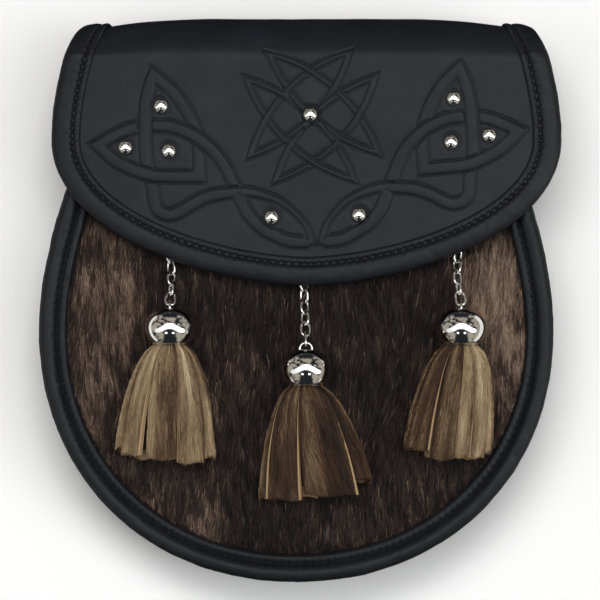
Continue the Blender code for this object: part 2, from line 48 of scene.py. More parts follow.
import bmesh
import bpy
import numpy as np
from bpy.props import FloatProperty, FloatVectorProperty, IntProperty, PointerProperty

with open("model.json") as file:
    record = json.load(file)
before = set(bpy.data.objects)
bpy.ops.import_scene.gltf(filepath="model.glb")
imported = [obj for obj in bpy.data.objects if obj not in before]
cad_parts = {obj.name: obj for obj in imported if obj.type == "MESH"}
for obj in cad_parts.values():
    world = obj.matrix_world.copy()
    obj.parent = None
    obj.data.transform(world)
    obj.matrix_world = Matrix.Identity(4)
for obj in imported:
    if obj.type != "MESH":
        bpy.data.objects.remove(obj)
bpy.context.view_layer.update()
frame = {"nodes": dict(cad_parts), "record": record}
BODY = "root"
FINISH_COLOUR = {entry["slot"]: entry["base_color"] for entry in frame["record"]["materials"]}

# ---- sizes of the packed model, in millimetres ----------------------------------------------------

MM = 0.001
GAP = 0.3  # between pieces that touch
LEATHER = 2.0  # thickness of the plates and of the flap

BODY_X = -1.3  # the flap is sewn on a little to the right of the pouch
BODY_HALF_WIDTH = 91.2
BODY_BOTTOM = -100.0
WIDEST_Y = -10.6
BOTTOM_FULLNESS = 2.1  # exponent of the bottom's superellipse: 2 is an ellipse
SHOULDER = (68.0, 72.0)  # where the side ends and the top corner begins
CORNER_END = (54.0, 81.0)
TOP_Y = 82.5

BACK_FACE = 6.2  # outer face of the back plate, sunk in its binding
FRONT_EDGE = 31.4  # underside of the front plate at its edge
PLATE_INSET = 2.0  # the plates' edges inside the bindings
GUSSET_THICKNESS = 1.8
GUSSET_SECTION = [(1.8, 9.9), (3.6, 16.5), (3.6, 23.1), (1.8, 29.7)]
GUSSET_PAST_SHOULDER = 3.9

FUR_INSET = 10.1
FUR_RISE = 1.3  # pile beside the binding, above the plate's edge
FUR_DOME = 1.6  # further rise to the middle
DOME_REACH = 34.0  # from the pouch's edge to where the dome is level

FLAP_X = 2.3
FLAP_TIP_Y = 5.1
FLAP_FRONT = 42.7  # height of the middle of the sheet over the front
FLAP_BACK = BACK_FACE - GAP - LEATHER / 2
FOLD_Y = 85.0  # the straight front ends and the fold over the top begins
FOLD_REACH = 14.0  # how far the fold stands out past that line
FOLD_DROOP = 2.0  # loss of that reach at the ends of the fold
DROOP_FROM = 35.0
DROOP_TO = 66.0
CROWN = 2.6  # the sides of the flap lie this much lower than its middle
CROWN_HALF_WIDTH = 88.0
FLAP_HALF_WIDTH = 90.1
FLAP_WIDEST_S = 53.6
RIM_END = (79.3, 113.0)  # where the flap's binding stops, behind the fold
FLAP_EDGE_INSET = 1.9  # edge of the sheet inside its binding
BACK_LEAF_HALF_WIDTH = 54.0
BACK_LEAF_LENGTH = 33.0
BACK_LEAF_CORNER = 9.0

LINK_LENGTH = 6.4
LINK_WIDTH = 4.3
LINK_WIRE = 0.95
LINK_SQUARENESS = 2.5

CAP_RADIUS = 9.04
CAP_LENGTH = 12.8
CAP_WIDEST = 6.6  # below the cap's top
CAP_TOP_BULGE = 7.4
CAP_BOTTOM_BULGE = 8.5
CAP_WALL = 0.9
EYE_RING_RADIUS = 2.2
EYE_WIRE = 1.0
EYE_TOP = 2.4  # middle of the eye's wire above the cap's top

HEAD_RADIUS = 4.5
HEM_FAN = 3.0  # the strips at the sides end this much higher than those in the middle
SKIRT_TAIL_HALF_HEIGHT = 5.4

LOOP_HALF_WIDTH = 7.0
LOOP_LOW_Y = 6.0
LOOP_LENGTH = 40.0
LOOP_FOOT = 5.0
LOOP_THICKNESS = 1.6

# ---- sizes of the finer forms, in millimetres -----------------------------------------------------

# A binding's section: its outer side from the edge over the roll to the inner lip, and the slot that
# clips over the leather's edge. u runs in from the edge. The stitches lie in the groove at groove.
Binding = namedtuple("Binding", "outer slot groove outward")
FRONT_BINDING = Binding(
    [(1.0, 30.0), (0.0, 31.6), (0.0, 34.4), (0.8, 36.3), (2.5, 36.95), (4.3, 36.8), (5.5, 36.0), (6.4, 34.8),
     (7.3, 35.4), (8.9, 35.45), (9.8, 34.4), (9.8, 33.7)],
    [(1.7, 33.7), (1.7, 31.1), (5.0, 31.1), (5.0, 30.0)],
    6.4,
    1,
)
BACK_BINDING = Binding(
    [(1.0, 9.6), (0.0, 8.0), (0.0, 3.0), (0.9, 0.9), (2.6, 0.0), (5.0, 0.0), (6.6, 0.9), (7.3, 3.4),
     (8.0, 4.3), (10.2, 4.6), (10.2, 5.9)],
    [(1.7, 5.9), (1.7, 8.5), (5.0, 8.5), (5.0, 9.6)],
    7.5,
    -1,
)
FLAP_BINDING = Binding(
    [(0.9, -2.2), (0.0, -0.9), (0.0, 1.2), (0.8, 2.3), (2.6, 2.8), (5.2, 2.85), (6.6, 2.4), (7.4, 1.4),
     (8.1, 2.2), (9.5, 2.2), (10.1, 1.5)],
    [(1.6, 1.5), (1.6, -1.4), (5.0, -1.4), (5.0, -2.2)],
    7.4,
    1,
)

Stud = namedtuple("Stud", "x y")
STUDS = [
    Stud(-49.2, 68.5), Stud(-61.8, 53.9), Stud(-46.4, 52.6), Stud(3.6, 65.5), Stud(54.3, 71.2),
    Stud(66.9, 58.2), Stud(53.4, 55.8), Stud(-10.1, 29.2), Stud(20.8, 30.1),
]
STUD_RADIUS = 2.65
STUD_HEIGHT = 1.75

# A tassel: its cap's place, its links, whether its eye stands up or lies flat, where its tail ends, how
# much lower its hem is on the right, how its hair leans, and the seed of its strips.
Tassel = namedtuple(
    "Tassel", "name cap_x cap_top links stands tail_left tail_right tail_y slant hair_lean seed"
)
TASSELS = [
    Tassel("left", -45.9, -3.0, 5, True, -64.6, -30.4, -56.8, 3.0, 0.03, 11),
    Tassel("middle", 2.1, -17.5, 6, False, -12.6, 25.3, -69.4, -6.0, 0.20, 12),
    Tassel("right", 56.9, -3.0, 6, True, 37.5, 66.9, -55.8, 2.0, -0.05, 13),
]
# The strips of hide that show, from a tassel's right round its front to its left: angles in degrees,
# how deep each lies, the tone of its hair, and whether its cut edge shows pale.
HideStrip = namedtuple("HideStrip", "start end deep tone pale")
UNDER_STRIPS = 4  # like strips on the skirt's underside
STRIP_GAP = 0.05  # share of a strip's width left open beside it at the hem
STRIP_DEPTH = 9.0  # about how far the strips lie from the skirt's middle line
SHOWN_STRIPS = {
    "left": [
        HideStrip(0, 36, 0.7, 0.50, False), HideStrip(36, 76, 0.1, 0.60, False),
        HideStrip(76, 119, 1.3, 0.50, False), HideStrip(120, 156, 0.0, 0.66, True),
        HideStrip(156, 184, 0.6, 0.60, False),
    ],
    "middle": [
        HideStrip(-4, 43, 0.8, 0.19, False), HideStrip(44, 107, 0.1, 0.22, True),
        HideStrip(108, 158, 0.2, 0.28, True), HideStrip(159, 186, 0.0, 0.32, True),
    ],
    "right": [
        HideStrip(-4, 30, 0.3, 0.66, False), HideStrip(31, 60, 0.0, 0.76, False),
        HideStrip(60, 82, 0.6, 0.54, False), HideStrip(82, 116, 0.2, 0.28, False),
        HideStrip(117, 166, 0.1, 0.25, True), HideStrip(167, 188, 0.3, 0.24, True),
    ],
}
# How far the skirt swells past a straight taper, and how far its strips have parted, down its length.
SkirtSection = namedtuple("SkirtSection", "share swell parting")
SKIRT_SECTIONS = [
    SkirtSection(-0.35, 0.0, 0.0), SkirtSection(0.0, 0.3, 0.0), SkirtSection(0.07, 2.9, 0.1),
    SkirtSection(0.28, 4.0, 0.25), SkirtSection(0.63, 2.9, 0.6), SkirtSection(1.0, 0.0, 1.0),
]

# Middle line of the left knot's strand on the front, each row from one corner to the next. The strand
# is closed, and its band passes over and under itself in turn.
LEFT_KNOT = [
    [(4.2, 20.6), (1.8, 26.4), (-2.9, 31.6), (-8.9, 35.6), (-17.9, 38.1), (-24.3, 37.8), (-29.9, 37.1),
     (-34.0, 35.9), (-38.7, 33.5), (-42.4, 31.2), (-45.7, 30.0), (-48.7, 30.6), (-50.9, 32.6),
     (-51.9, 36.5), (-52.5, 40.9), (-53.5, 44.9), (-54.4, 48.9), (-54.8, 53.3), (-54.9, 60.1),
     (-54.9, 65.7), (-54.3, 71.8), (-53.2, 76.0), (-51.9, 79.3)],
    [(-51.9, 79.3), (-48.7, 76.8), (-44.1, 72.6), (-39.7, 66.1), (-36.8, 59.4), (-35.9, 54.0),
     (-35.8, 49.8), (-35.8, 43.6)],
    [(-35.8, 43.6), (-42.5, 43.6), (-51.4, 43.8), (-58.1, 45.7), (-63.8, 48.2), (-68.4, 51.6),
     (-71.5, 54.6)],
    [(-71.5, 54.6), (-66.6, 57.5), (-60.6, 60.2), (-54.9, 61.4), (-50.3, 61.5), (-45.7, 61.2),
     (-40.4, 59.4), (-35.1, 56.5), (-30.5, 52.5), (-26.8, 47.5), (-23.9, 41.6), (-22.0, 37.7),
     (-20.2, 33.5), (-18.1, 29.9), (-13.6, 25.2), (-9.2, 22.9), (-3.8, 20.7), (3.3, 20.4)],
]
# The right knot is the left one in a mirror, turned and drawn a little smaller about its own middle.
LEFT_KNOT_MIDDLE = (-41.9, 51.0)
RIGHT_KNOT_MIDDLE = (48.9, 53.8)
RIGHT_KNOT_TURN = math.radians(5.0)
RIGHT_KNOT_SCALE = 0.965
SIDE_BAND = 2.3  # half the width of the side knots' band
LEAF_NARROW = 0.45  # share of the band's width at the leaf's tip, where the strand starts
LEAF_WIDENS = (8.0, 46.0)  # where along the strand it widens to its full width
# Pointed loops of the middle knot, from tip to tip.
MIDDLE_KNOT = [
    ((17.1, 87.7), (-17.9, 50.9)), ((26.1, 78.4), (-8.9, 42.2)), ((-11.0, 87.1), (27.5, 52.0)),
    ((-18.9, 77.8), (18.9, 42.5)),
]
MIDDLE_KNOT_BULGE = 6.4
MIDDLE_BAND = 1.1
LINE_WIDTH = 0.46
BAND_FULLNESS = 0.09  # how high a band stands, as a share of half its width
UNDER_REACH = 14  # points of a strand on each side of a crossing where it may be hidden
KNOTS_START_OVER = (False, False, True)  # whether the left, right and middle knots start over or under

# Lighter and darker places of the fur: their middle, their half sizes and how much lighter they are. The
# darker place low in the middle is partly the fur's own tone and partly painted shade, where the light falls
# off towards the bottom.
Patch = namedtuple("Patch", "x y wide high lighter")
FUR_PATCHES = [
    Patch(-69.0, 5.5, 13.0, 27.0, 0.36), Patch(-73.0, -35.0, 9.0, 24.0, 0.22),
    Patch(70.0, 6.0, 13.0, 27.0, 0.56), Patch(77.0, -36.0, 8.0, 24.0, 0.30),
    Patch(-33.7, -74.0, 5.5, 14.0, 0.34), Patch(35.0, -81.0, 39.0, 10.0, 0.10),
    Patch(-53.0, -71.0, 15.0, 14.0, 0.16), Patch(-26.0, -22.0, 8.0, 26.0, 0.08),
    Patch(27.0, -24.0, 16.0, 34.0, -0.09), Patch(0.0, -78.0, 26.0, 14.0, -0.12),
]

# ---- settings that a user would change -----------------------------------------------------------


def colour_setting(title, text, default):
    return FloatVectorProperty(
        name=title, description=text, subtype="COLOR", size=3, min=0.0, max=1.0, default=default
    )


def count_setting(title, text, default):
    return IntProperty(name=title, description=text, default=default, min=1000)


def length_setting(title, text, default):
    return FloatProperty(name=title, description=text, default=default * MM, min=0.0, unit="LENGTH")


def strength_setting(title, text, default, **limits):
    return FloatProperty(name=title, description=text, default=default, min=0.0, **limits)


class PouchLeather(bpy.types.PropertyGroup):
    """Colours and working of the leather."""

    flap: colour_setting("Flap", "Colour of the flap's leather", (0.0108, 0.0114, 0.0150))
    binding: colour_setting(
        "Binding", "Colour of the rolled bindings and side wall", (0.0098, 0.0102, 0.0128)
    )
    back: colour_setting("Back", "Colour of the back and the strap loops", (0.012, 0.0115, 0.0115))
    thread: colour_setting("Thread", "Colour of the sewing thread", (0.009, 0.009, 0.011))
    stitch: length_setting("Stitch", "Length of one stitch with its gap", 2.9)
    thread_size: length_setting("Thread size", "Thickness of the thread", 0.55)
    press: length_setting("Press", "Depth of the lines pressed into the flap", 0.25)
    wrinkle: length_setting("Wrinkle", "Height of the wrinkles in the bindings", 0.10)


class PouchFur(bpy.types.PropertyGroup):
    """Colours and hair of the fur front."""

    dark: colour_setting("Dark", "Colour of the darkest hair", (0.0045, 0.0033, 0.003))
    middle: colour_setting("Middle", "Colour of most hair", (0.030, 0.0178, 0.0142))
    light: colour_setting("Light", "Colour of the lightest hair", (0.285, 0.198, 0.140))
    strands: count_setting("Strands", "Hairs in each half of the pile", 56000)
    length: length_setting("Length", "Length of a hair", 8.0)
    width: length_setting("Width", "Width of a hair", 0.21)


class PouchTassels(bpy.types.PropertyGroup):
    """Colours and hair of the tassels."""

    dark: colour_setting("Dark", "Darkest hair", (0.012, 0.007, 0.005))
    brown: colour_setting("Brown", "Brown hair, mostly of the middle tassel", (0.061, 0.031, 0.0165))
    tan: colour_setting("Tan", "Tan hair, mostly of the left tassel", (0.24, 0.17, 0.095))
    blond: colour_setting("Blond", "Lightest hair", (0.55, 0.44, 0.29))
    cut_edge: colour_setting("Cut edge", "Bare cut edges of the hide strips", (0.37, 0.25, 0.135))
    strands: count_setting("Strands", "Hairs of each tassel", 16000)
    length: length_setting("Length", "Length of a hair", 13.0)
    width: length_setting("Width", "Width of a hair", 0.24)


class PouchMetal(bpy.types.PropertyGroup):
    """Finish of the bright metal."""

    colour: colour_setting("Colour", "Colour of the polished metal", FINISH_COLOUR["chrome"])
    roughness: strength_setting(
        "Roughness", "How much the polish blurs what it mirrors", 0.07, max=1.0, subtype="FACTOR"
    )


class PouchStage(bpy.types.PropertyGroup):
    """Floor, light and camera."""

    floor: colour_setting("Floor", "Colour of the floor", (0.86, 0.86, 0.86))
    softbox: strength_setting("Softbox", "Strength of the softbox", 2.35)
    lamp: strength_setting("Lamp", "Power of the lamp for matt surfaces", 39.0, unit="POWER")
    walls: strength_setting("Walls", "Strength of the cream side walls", 0.42)
    fill: strength_setting("Fill", "Strength of the light all round", 0.025)
    view_width: length_setting("View width", "Width that the picture shows", 212.64)
    camera_height: length_setting("Camera height", "Height of the camera over the floor", 2500.0)


SETTINGS = {
    "pouch_leather": PouchLeather,
    "pouch_fur": PouchFur,
    "pouch_tassels": PouchTassels,
    "pouch_metal": PouchMetal,
    "pouch_stage": PouchStage,
}

# ---- curves --------------------------------------------------------------------------------------


def bezier(start, leave, arrive, end, count):
    """count + 1 points along a cubic curve."""
    t = np.linspace(0, 1, count + 1)[:, None]
    r = 1 - t
    start, leave, arrive, end = (np.array(p, float) for p in (start, leave, arrive, end))
    return start * r**3 + leave * 3 * r * r * t + arrive * 3 * r * t * t + end * t**3


def chain_curves(*curves):
    """Curves that follow each other, without the doubled points between them."""
    return np.vstack([curves[0]] + [curve[1:] for curve in curves[1:]])


def smooth_through(points, steps):
    """A smooth open curve through the points, with this many steps from each to the next."""
    given = np.asarray(points, float)
    run = np.vstack([2 * given[0] - given[1], given, 2 * given[-1] - given[-2]])
    t = np.linspace(0, 1, steps, endpoint=False)[:, None]
    made = []
    for a, b, c, d in zip(run, run[1:], run[2:], run[3:]):
        part = 2 * b + (c - a) * t + (2 * a - 5 * b + 4 * c - d) * t**2 + (3 * b - a - 3 * c + d) * t**3
        made.append(part / 2)
    return np.vstack(made + [given[-1:]])


def run_along(path):
    """Distance along a path to each of its points."""
    return np.concatenate([[0.0], np.cumsum(np.linalg.norm(np.diff(path, axis=0), axis=1))])


def evenly(path, spacing):
    """The path again, with points at even distances of about the spacing."""
    run = run_along(path)
    at = np.linspace(0, run[-1], max(2, round(run[-1] / spacing)) + 1)
    return np.column_stack([np.interp(at, run, path[:, k]) for k in range(path.shape[1])])


def unit(vectors):
    """The same directions, each of length 1."""
    return vectors / np.maximum(np.linalg.norm(vectors, axis=-1, keepdims=True), 1e-12)


def left_of(path, closed):
    """Unit vectors to the left of a path in the plane, at each of its points."""
    if closed:
        along = np.roll(path[:-1], -1, axis=0) - np.roll(path[:-1], 1, axis=0)
        along = np.vstack([along, along[:1]])
    else:
        along = np.gradient(path, axis=0)
    along = unit(along)
    return np.column_stack([-along[:, 1], along[:, 0]])


def read_between(table, i, j, next_i, next_j, a, b):
    """Values between four neighbours of a table, by the shares a and b of the way to the next ones."""
    low = table[i, j] * (1 - a) + table[next_i, j] * a
    high = table[i, next_j] * (1 - a) + table[next_i, next_j] * a
    return low * (1 - b) + high * b


DRIFT_CELLS = 64  # drift's table has this many heights each way, and then repeats
DRIFT_START = (131.7, 117.3)  # the cell that 0, 0 falls in, away from the table's corner


def drift(x, y, scale, seed):
    """Smooth random heights from -1 to 1 over a plane, with a bump in each length of scale."""
    table = np.random.default_rng(seed).uniform(-1, 1, (DRIFT_CELLS, DRIFT_CELLS))
    u, v = np.asarray(x) / scale + DRIFT_START[0], np.asarray(y) / scale + DRIFT_START[1]
    i, j = np.floor(u).astype(int), np.floor(v).astype(int)
    a, b = u - i, v - j
    a, b = a * a * (3 - 2 * a), b * b * (3 - 2 * b)
    return read_between(table, *(index % DRIFT_CELLS for index in (i, j, i + 1, j + 1)), a, b)


def ramp(value, start, end):
    """0 before start and 1 after end, with a smooth turn between them."""
    t = np.clip((value - start) / (end - start), 0, 1)
    return t * t * (3 - 2 * t)


# ---- the pouch's outline and the fur's surface ---------------------------------------------------

Edge = namedtuple("Edge", "run points inward length closed lay")


def make_edge(path, closed, lay):
    """An edge to sew along. lay puts points of its plane in space."""
    run = run_along(path)
    return Edge(run, path, left_of(path, closed), run[-1], closed, lay)


def on_edge(edge, run, inset, height):
    """Points at a distance along an edge, in from it, at a height."""
    at = np.asarray(run, float)
    if edge.closed:
        at = at % edge.length
    x, y = (
        np.interp(at, edge.run, edge.points[:, k]) + np.interp(at, edge.run, edge.inward[:, k]) * inset
        for k in (0, 1)
    )
    return edge.lay(x, y, height)


def lay_on_body(x, y, height):
    """Points of the pouch's own plane, whose middle is BODY_X."""
    x, y, height = np.broadcast_arrays(x, y, height)
    return np.stack([x + BODY_X, y, height], axis=-1)


def body_half_outline():
    """The right half of the outline, from the bottom's middle to the top's middle, and the shoulder's run."""
    depth = WIDEST_Y - BODY_BOTTOM
    angle = np.radians(np.linspace(-90, 0, 181))
    power = 2 / BOTTOM_FULLNESS
    bottom = np.column_stack(
        [BODY_HALF_WIDTH * np.cos(angle) ** power, WIDEST_Y - depth * np.abs(np.sin(angle)) ** power]
    )
    bottom[0, 0] = 0.0
    side = bezier((BODY_HALF_WIDTH, WIDEST_Y), (BODY_HALF_WIDTH, 18.0), (78.0, 52.0), SHOULDER, 80)
    corner = bezier(SHOULDER, (65.2, 76.6), (62.0, 80.3), CORNER_END, 30)
    top = bezier(CORNER_END, (38.0, 82.2), (18.0, TOP_Y), (0.0, TOP_Y), 60)
    shoulder_run = run_along(chain_curves(bottom, side))[-1]
    return chain_curves(bottom, side, corner, top), shoulder_run


BODY_STEP = 1.0  # between the points of the pouch's outline


def body_edge():
    """The pouch's whole outline as an edge, and the run at which its right side ends."""
    half, shoulder_run = body_half_outline()
    mirrored = half[::-1][1:] * (-1, 1)
    path = evenly(np.vstack([half, mirrored]), BODY_STEP)
    return make_edge(path, True, lay_on_body), shoulder_run


BODY_EDGE, SHOULDER_RUN = body_edge()


def distance_to_path(x, y, path, square_ends=False):
    """Distance from each place to an open path. With square ends it is endless past the path's ends.
    Further columns of the path are read at the nearest point, and come back after the distance."""
    places = np.column_stack([np.ravel(x), np.ravel(y)])
    nearest = np.full(len(places), np.inf)
    carried = np.full((len(places), path.shape[1] - 2), 1.0)
    for number, (start, end) in enumerate(zip(path, path[1:])):
        step = end[:2] - start[:2]
        share = (places - start[:2]) @ step / (step @ step)
        along = np.clip(share, 0, 1)[:, None]
        away = np.linalg.norm(places - start[:2] - along * step, axis=1)
        if square_ends and number == 0:
            away[share < 0] = np.inf
        if square_ends and number == len(path) - 2:
            away[share > 1] = np.inf
        closer = away < nearest
        nearest[closer] = away[closer]
        carried[closer] = (start[2:] + along * (end[2:] - start[2:]))[closer]
    shape = np.shape(x)
    found = [nearest.reshape(shape)] + [column.reshape(shape) for column in carried.T]
    return found if len(found) > 1 else found[0]


class EdgeMap:
    """Distance in from the pouch's outline, kept on a grid and read between its points."""

    STEP = 2.0
    LOW_X, LOW_Y = -100.0, -106.0
    COLUMNS, ROWS = 100, 96

    def __init__(self):
        x = self.LOW_X + self.STEP * np.arange(self.COLUMNS)
        y = self.LOW_Y + self.STEP * np.arange(self.ROWS)
        grid_x, grid_y = np.meshgrid(x, y, indexing="ij")
        outline = evenly(BODY_EDGE.points, self.STEP)
        self.inside = distance_to_path(grid_x, grid_y, outline)
        following = np.roll(outline, -1, axis=0)
        crossings = np.zeros(grid_x.shape, int)
        for (x1, y1), (x2, y2) in zip(outline, following):
            if y1 != y2:
                spans = (grid_y >= min(y1, y2)) & (grid_y < max(y1, y2))
                crossings += spans & (grid_x < x1 + (grid_y - y1) * (x2 - x1) / (y2 - y1))
        self.inside[crossings % 2 == 0] *= -1

    def __call__(self, x, y):
        u = (np.asarray(x) - BODY_X - self.LOW_X) / self.STEP
        v = (np.asarray(y) - self.LOW_Y) / self.STEP
        i = np.clip(np.floor(u).astype(int), 0, self.COLUMNS - 2)
        j = np.clip(np.floor(v).astype(int), 0, self.ROWS - 2)
        return read_between(self.inside, i, j, i + 1, j + 1, u - i, v - j)


edge_distance = EdgeMap()


def fur_top(x, y):
    """Height of the fur over a place of the front."""
    reach = np.clip((edge_distance(x, y) - FUR_INSET) / (DOME_REACH - FUR_INSET), 0, 1)
    return FRONT_EDGE + LEATHER + FUR_RISE + FUR_DOME * (1 - (1 - reach) ** 2)


# ---- the flap's path -----------------------------------------------------------------------------

FOLD_S = FOLD_Y - FLAP_TIP_Y
FOLD_RISE = (FLAP_FRONT - FLAP_BACK) / 2
FOLD_MIDDLE = (FLAP_FRONT + FLAP_BACK) / 2
FOLD_LENGTH = math.pi * math.sqrt((FOLD_REACH**2 + FOLD_RISE**2) / 2)
BACK_LEAF_S = FOLD_S + FOLD_LENGTH


def flap_place(x, s, height):
    """Where points of the flat sheet come to lie, at a height above the middle of the sheet."""
    x, s, height = np.broadcast_arrays(*(np.asarray(v, float) for v in (x, s, height)))
    crown = CROWN * (np.abs(x) / CROWN_HALF_WIDTH) ** 4
    turn = np.clip(math.pi * (s - FOLD_S) / FOLD_LENGTH, 0, math.pi)
    past = np.maximum(0.0, np.abs(x) - DROOP_FROM) / (DROOP_TO - DROOP_FROM)
    reach = FOLD_REACH - FOLD_DROOP * past**2
    out_y, out_z = np.sin(turn) / reach, np.cos(turn) / FOLD_RISE
    size = np.hypot(out_y, out_z)
    before = np.minimum(s - FOLD_S, 0)
    behind = np.maximum(s - BACK_LEAF_S, 0)
    y = FOLD_Y + before - behind + reach * np.sin(turn) + out_y / size * height
    z = FOLD_MIDDLE + FOLD_RISE * np.cos(turn) + out_z / size * height
    return np.stack([x + FLAP_X, y, z - crown * (1 + np.cos(turn)) / 2], axis=-1)


def flap_outline():
    """The right half of the flap's edge, from its tip to where the binding stops."""
    widest = (FLAP_HALF_WIDTH, FLAP_WIDEST_S)
    lower = bezier((0.0, 0.0), (36.0, 1.0), (92.0, 18.5), widest, 90)
    upper = bezier(widest, (FLAP_HALF_WIDTH, 72.0), (81.5, 92.0), RIM_END, 60)
    return chain_curves(lower, upper)


FLAP_STEP = 0.8  # between the points of the flap's lines


def flap_edge():
    """The flap's bound edge, from one end of its binding round the tip to the other."""
    half = flap_outline()
    mirrored = half[::-1][:-1] * (-1, 1)
    return make_edge(evenly(np.vstack([mirrored, half]), FLAP_STEP), False, flap_place)


FLAP_EDGE = flap_edge()

# ---- meshes --------------------------------------------------------------------------------------


def add_piece(name, points, faces, finish, slot, attributes=None, closed=True, sharp=50.0):
    """A mesh piece from points in millimetres. faces holds arrays or lists of equal rows of indices."""
    rows = [np.asarray(block, np.int32) for block in faces if len(block)]
    corners = np.concatenate([block.ravel() for block in rows])
    sizes = np.concatenate([np.full(len(block), block.shape[1], np.int32) for block in rows])
    mesh = bpy.data.meshes.new(name)
    mesh.vertices.add(len(points))
    mesh.vertices.foreach_set("co", (np.asarray(points) * MM).astype(np.float32).ravel())
    mesh.loops.add(len(corners))
    mesh.loops.foreach_set("vertex_index", corners)
    mesh.polygons.add(len(sizes))
    mesh.polygons.foreach_set("loop_start", np.concatenate([[0], np.cumsum(sizes)[:-1]]))
    mesh.update(calc_edges=True)
    for key, values in (attributes or {}).items():
        layer = mesh.attributes.new(key, "FLOAT", "POINT")
        layer.data.foreach_set("value", np.asarray(values, np.float32))
    if closed:
        shape = bmesh.new()
        shape.from_mesh(mesh)
        bmesh.ops.recalc_face_normals(shape, faces=shape.faces)
        shape.to_mesh(mesh)
        shape.free()
    mesh.shade_smooth()
    if sharp:
        mesh.set_sharp_from_angle(angle=math.radians(sharp))
    mesh.materials.append(finish)
    piece = bpy.data.objects.new(name, mesh)
    bpy.context.scene.collection.objects.link(piece)
    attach(piece, BODY)
    return piece


def grid_faces(rows, columns, wrap_rows=False, wrap_columns=False):
    """Quads between the points of a grid, stored row by row."""
    i = np.arange(rows if wrap_rows else rows - 1)[:, None]
    j = np.arange(columns if wrap_columns else columns - 1)[None, :]
    i, j = (index.ravel() for index in np.broadcast_arrays(i, j))
    below, beside = (i + 1) % rows, (j + 1) % columns
    corners = [i * columns + j, i * columns + beside, below * columns + beside, below * columns + j]
    return np.column_stack(corners)


def swept(rings, closed_path=False):
    """Points and faces of a tube through equal rings of points, with flat ends on an open path."""
    count, size = rings.shape[:2]
    faces = [grid_faces(count, size, wrap_rows=closed_path, wrap_columns=True)]
    if not closed_path:
        faces.append(np.array([np.arange(size), np.arange(size) + (count - 1) * size]))
    return rings.reshape(-1, 3), faces


def many_tubes(rings):
    """Points and faces of many like tubes, from rings of shape tubes, stations, sides, 3."""
    tubes, stations, sides = rings.shape[:3]
    one = grid_faces(stations, sides, wrap_columns=True)
    ends = np.array([np.arange(sides), np.arange(sides) + (stations - 1) * sides])
    starts = np.arange(tubes)[:, None, None] * stations * sides
    faces = [(one[None] + starts).reshape(-1, 4), (ends[None] + starts).reshape(-1, sides)]
    return rings.reshape(-1, 3), faces


def joined(parts):
    """Points and faces of several shapes as one mesh."""
    points, faces, first = [], [], 0
    for part_points, part_faces in parts:
        points.append(part_points)
        faces += [np.asarray(block) + first for block in part_faces]
        first += len(part_points)
    return np.vstack(points), faces


def circle(sides):
    """Cosines and sines of even angles round a circle."""
    angle = 2 * math.pi * np.arange(sides) / sides
    return np.cos(angle), np.sin(angle)


def signed_power(value, power):
    """The value's size to a power, with the value's own sign."""
    return np.sign(value) * np.abs(value) ** power


def round_wire(path, sideways, radius, sides, closed=True):
    """Rings of a round wire along a path, with a side direction for its section."""
    if closed:
        along = np.roll(path, -1, axis=0) - np.roll(path, 1, axis=0)
    else:
        along = np.gradient(path, axis=0)
    out = unit(np.cross(unit(along), sideways))
    across, up = circle(sides)
    section = out[:, None] * across[None, :, None]
    section = section + np.asarray(sideways)[..., None, :] * up[None, :, None]
    return path[:, None] + section * radius


def turned(middle, profile, sides):
    """Rings of a shape turned about an axis along Y. profile has radius and distance along the axis."""
    radius, along = np.asarray(profile, float).T
    x, z = (radius[:, None] * wave for wave in circle(sides))
    return np.asarray(middle) + np.stack([x, np.broadcast_to(along[:, None], x.shape), z], axis=-1)


# ---- materials -----------------------------------------------------------------------------------


def new_finish(name, roughness, metallic=0.0, specular=0.5):
    """A material and its shader, with the values that are the same all over."""
    made = bpy.data.materials.new(name)
    made.use_nodes = True
    shader = made.node_tree.nodes["Principled BSDF"]
    shader.inputs["Roughness"].default_value = roughness
    shader.inputs["Metallic"].default_value = metallic
    shader.inputs["Specular IOR Level"].default_value = specular
    return made, shader


def add_node(finish, kind, inputs=None, **settings):
    """A shader node with its settings. An input is a value, or a socket to join it to."""
    made = finish.node_tree.nodes.new("ShaderNode" + kind)
    for key, value in settings.items():
        setattr(made, key, value)
    for key, value in (inputs or {}).items():
        if isinstance(value, bpy.types.NodeSocket):
            finish.node_tree.links.new(value, made.inputs[key])
        else:
            made.inputs[key].default_value = value
    return made


def join_sockets(finish, source, target):
    finish.node_tree.links.new(source, target)


def colour_ramp(finish, factor, stops):
    """A colour ramp. stops has a place and a colour for each."""
    made = add_node(finish, "ValToRGB", {"Fac": factor})
    elements = made.color_ramp.elements
    while len(elements) < len(stops):
        elements.new(0.5)
    for element, (place, colour) in zip(elements, stops):
        element.position = place
        element.color = (*colour, 1.0)
    return made.outputs["Color"]


def shade(colour, share):
    """The colour, darker or lighter by a share."""
    return tuple(min(1.0, value * share) for value in colour)


def place_of(finish):
    """The place on the object, in metres."""
    return add_node(finish, "TexCoord").outputs["Object"]


def noise(finish, place, per_metre, detail=4.0, roughness=0.55):
    """A cloudy factor with this many clouds to the metre."""
    inputs = {"Vector": place, "Scale": per_metre, "Detail": detail, "Roughness": roughness}
    return add_node(finish, "TexNoise", inputs).outputs["Fac"]


def vary_roughness(finish, shader, factor, low, high):
    """Roughness between two values, by a factor that runs about its middle."""
    spread = add_node(
        finish, "MapRange", {"Value": factor, "From Min": 0.3, "From Max": 0.7, "To Min": low, "To Max": high}
    )
    join_sockets(finish, spread.outputs["Result"], shader.inputs["Roughness"])


def mix_in(finish, factor, base, colour):
    """The base colour, turned to another where the factor is 1."""
    inputs = {"Factor": factor, "A": base, "B": (*colour, 1.0)}
    return add_node(finish, "Mix", inputs, data_type="RGBA").outputs["Result"]


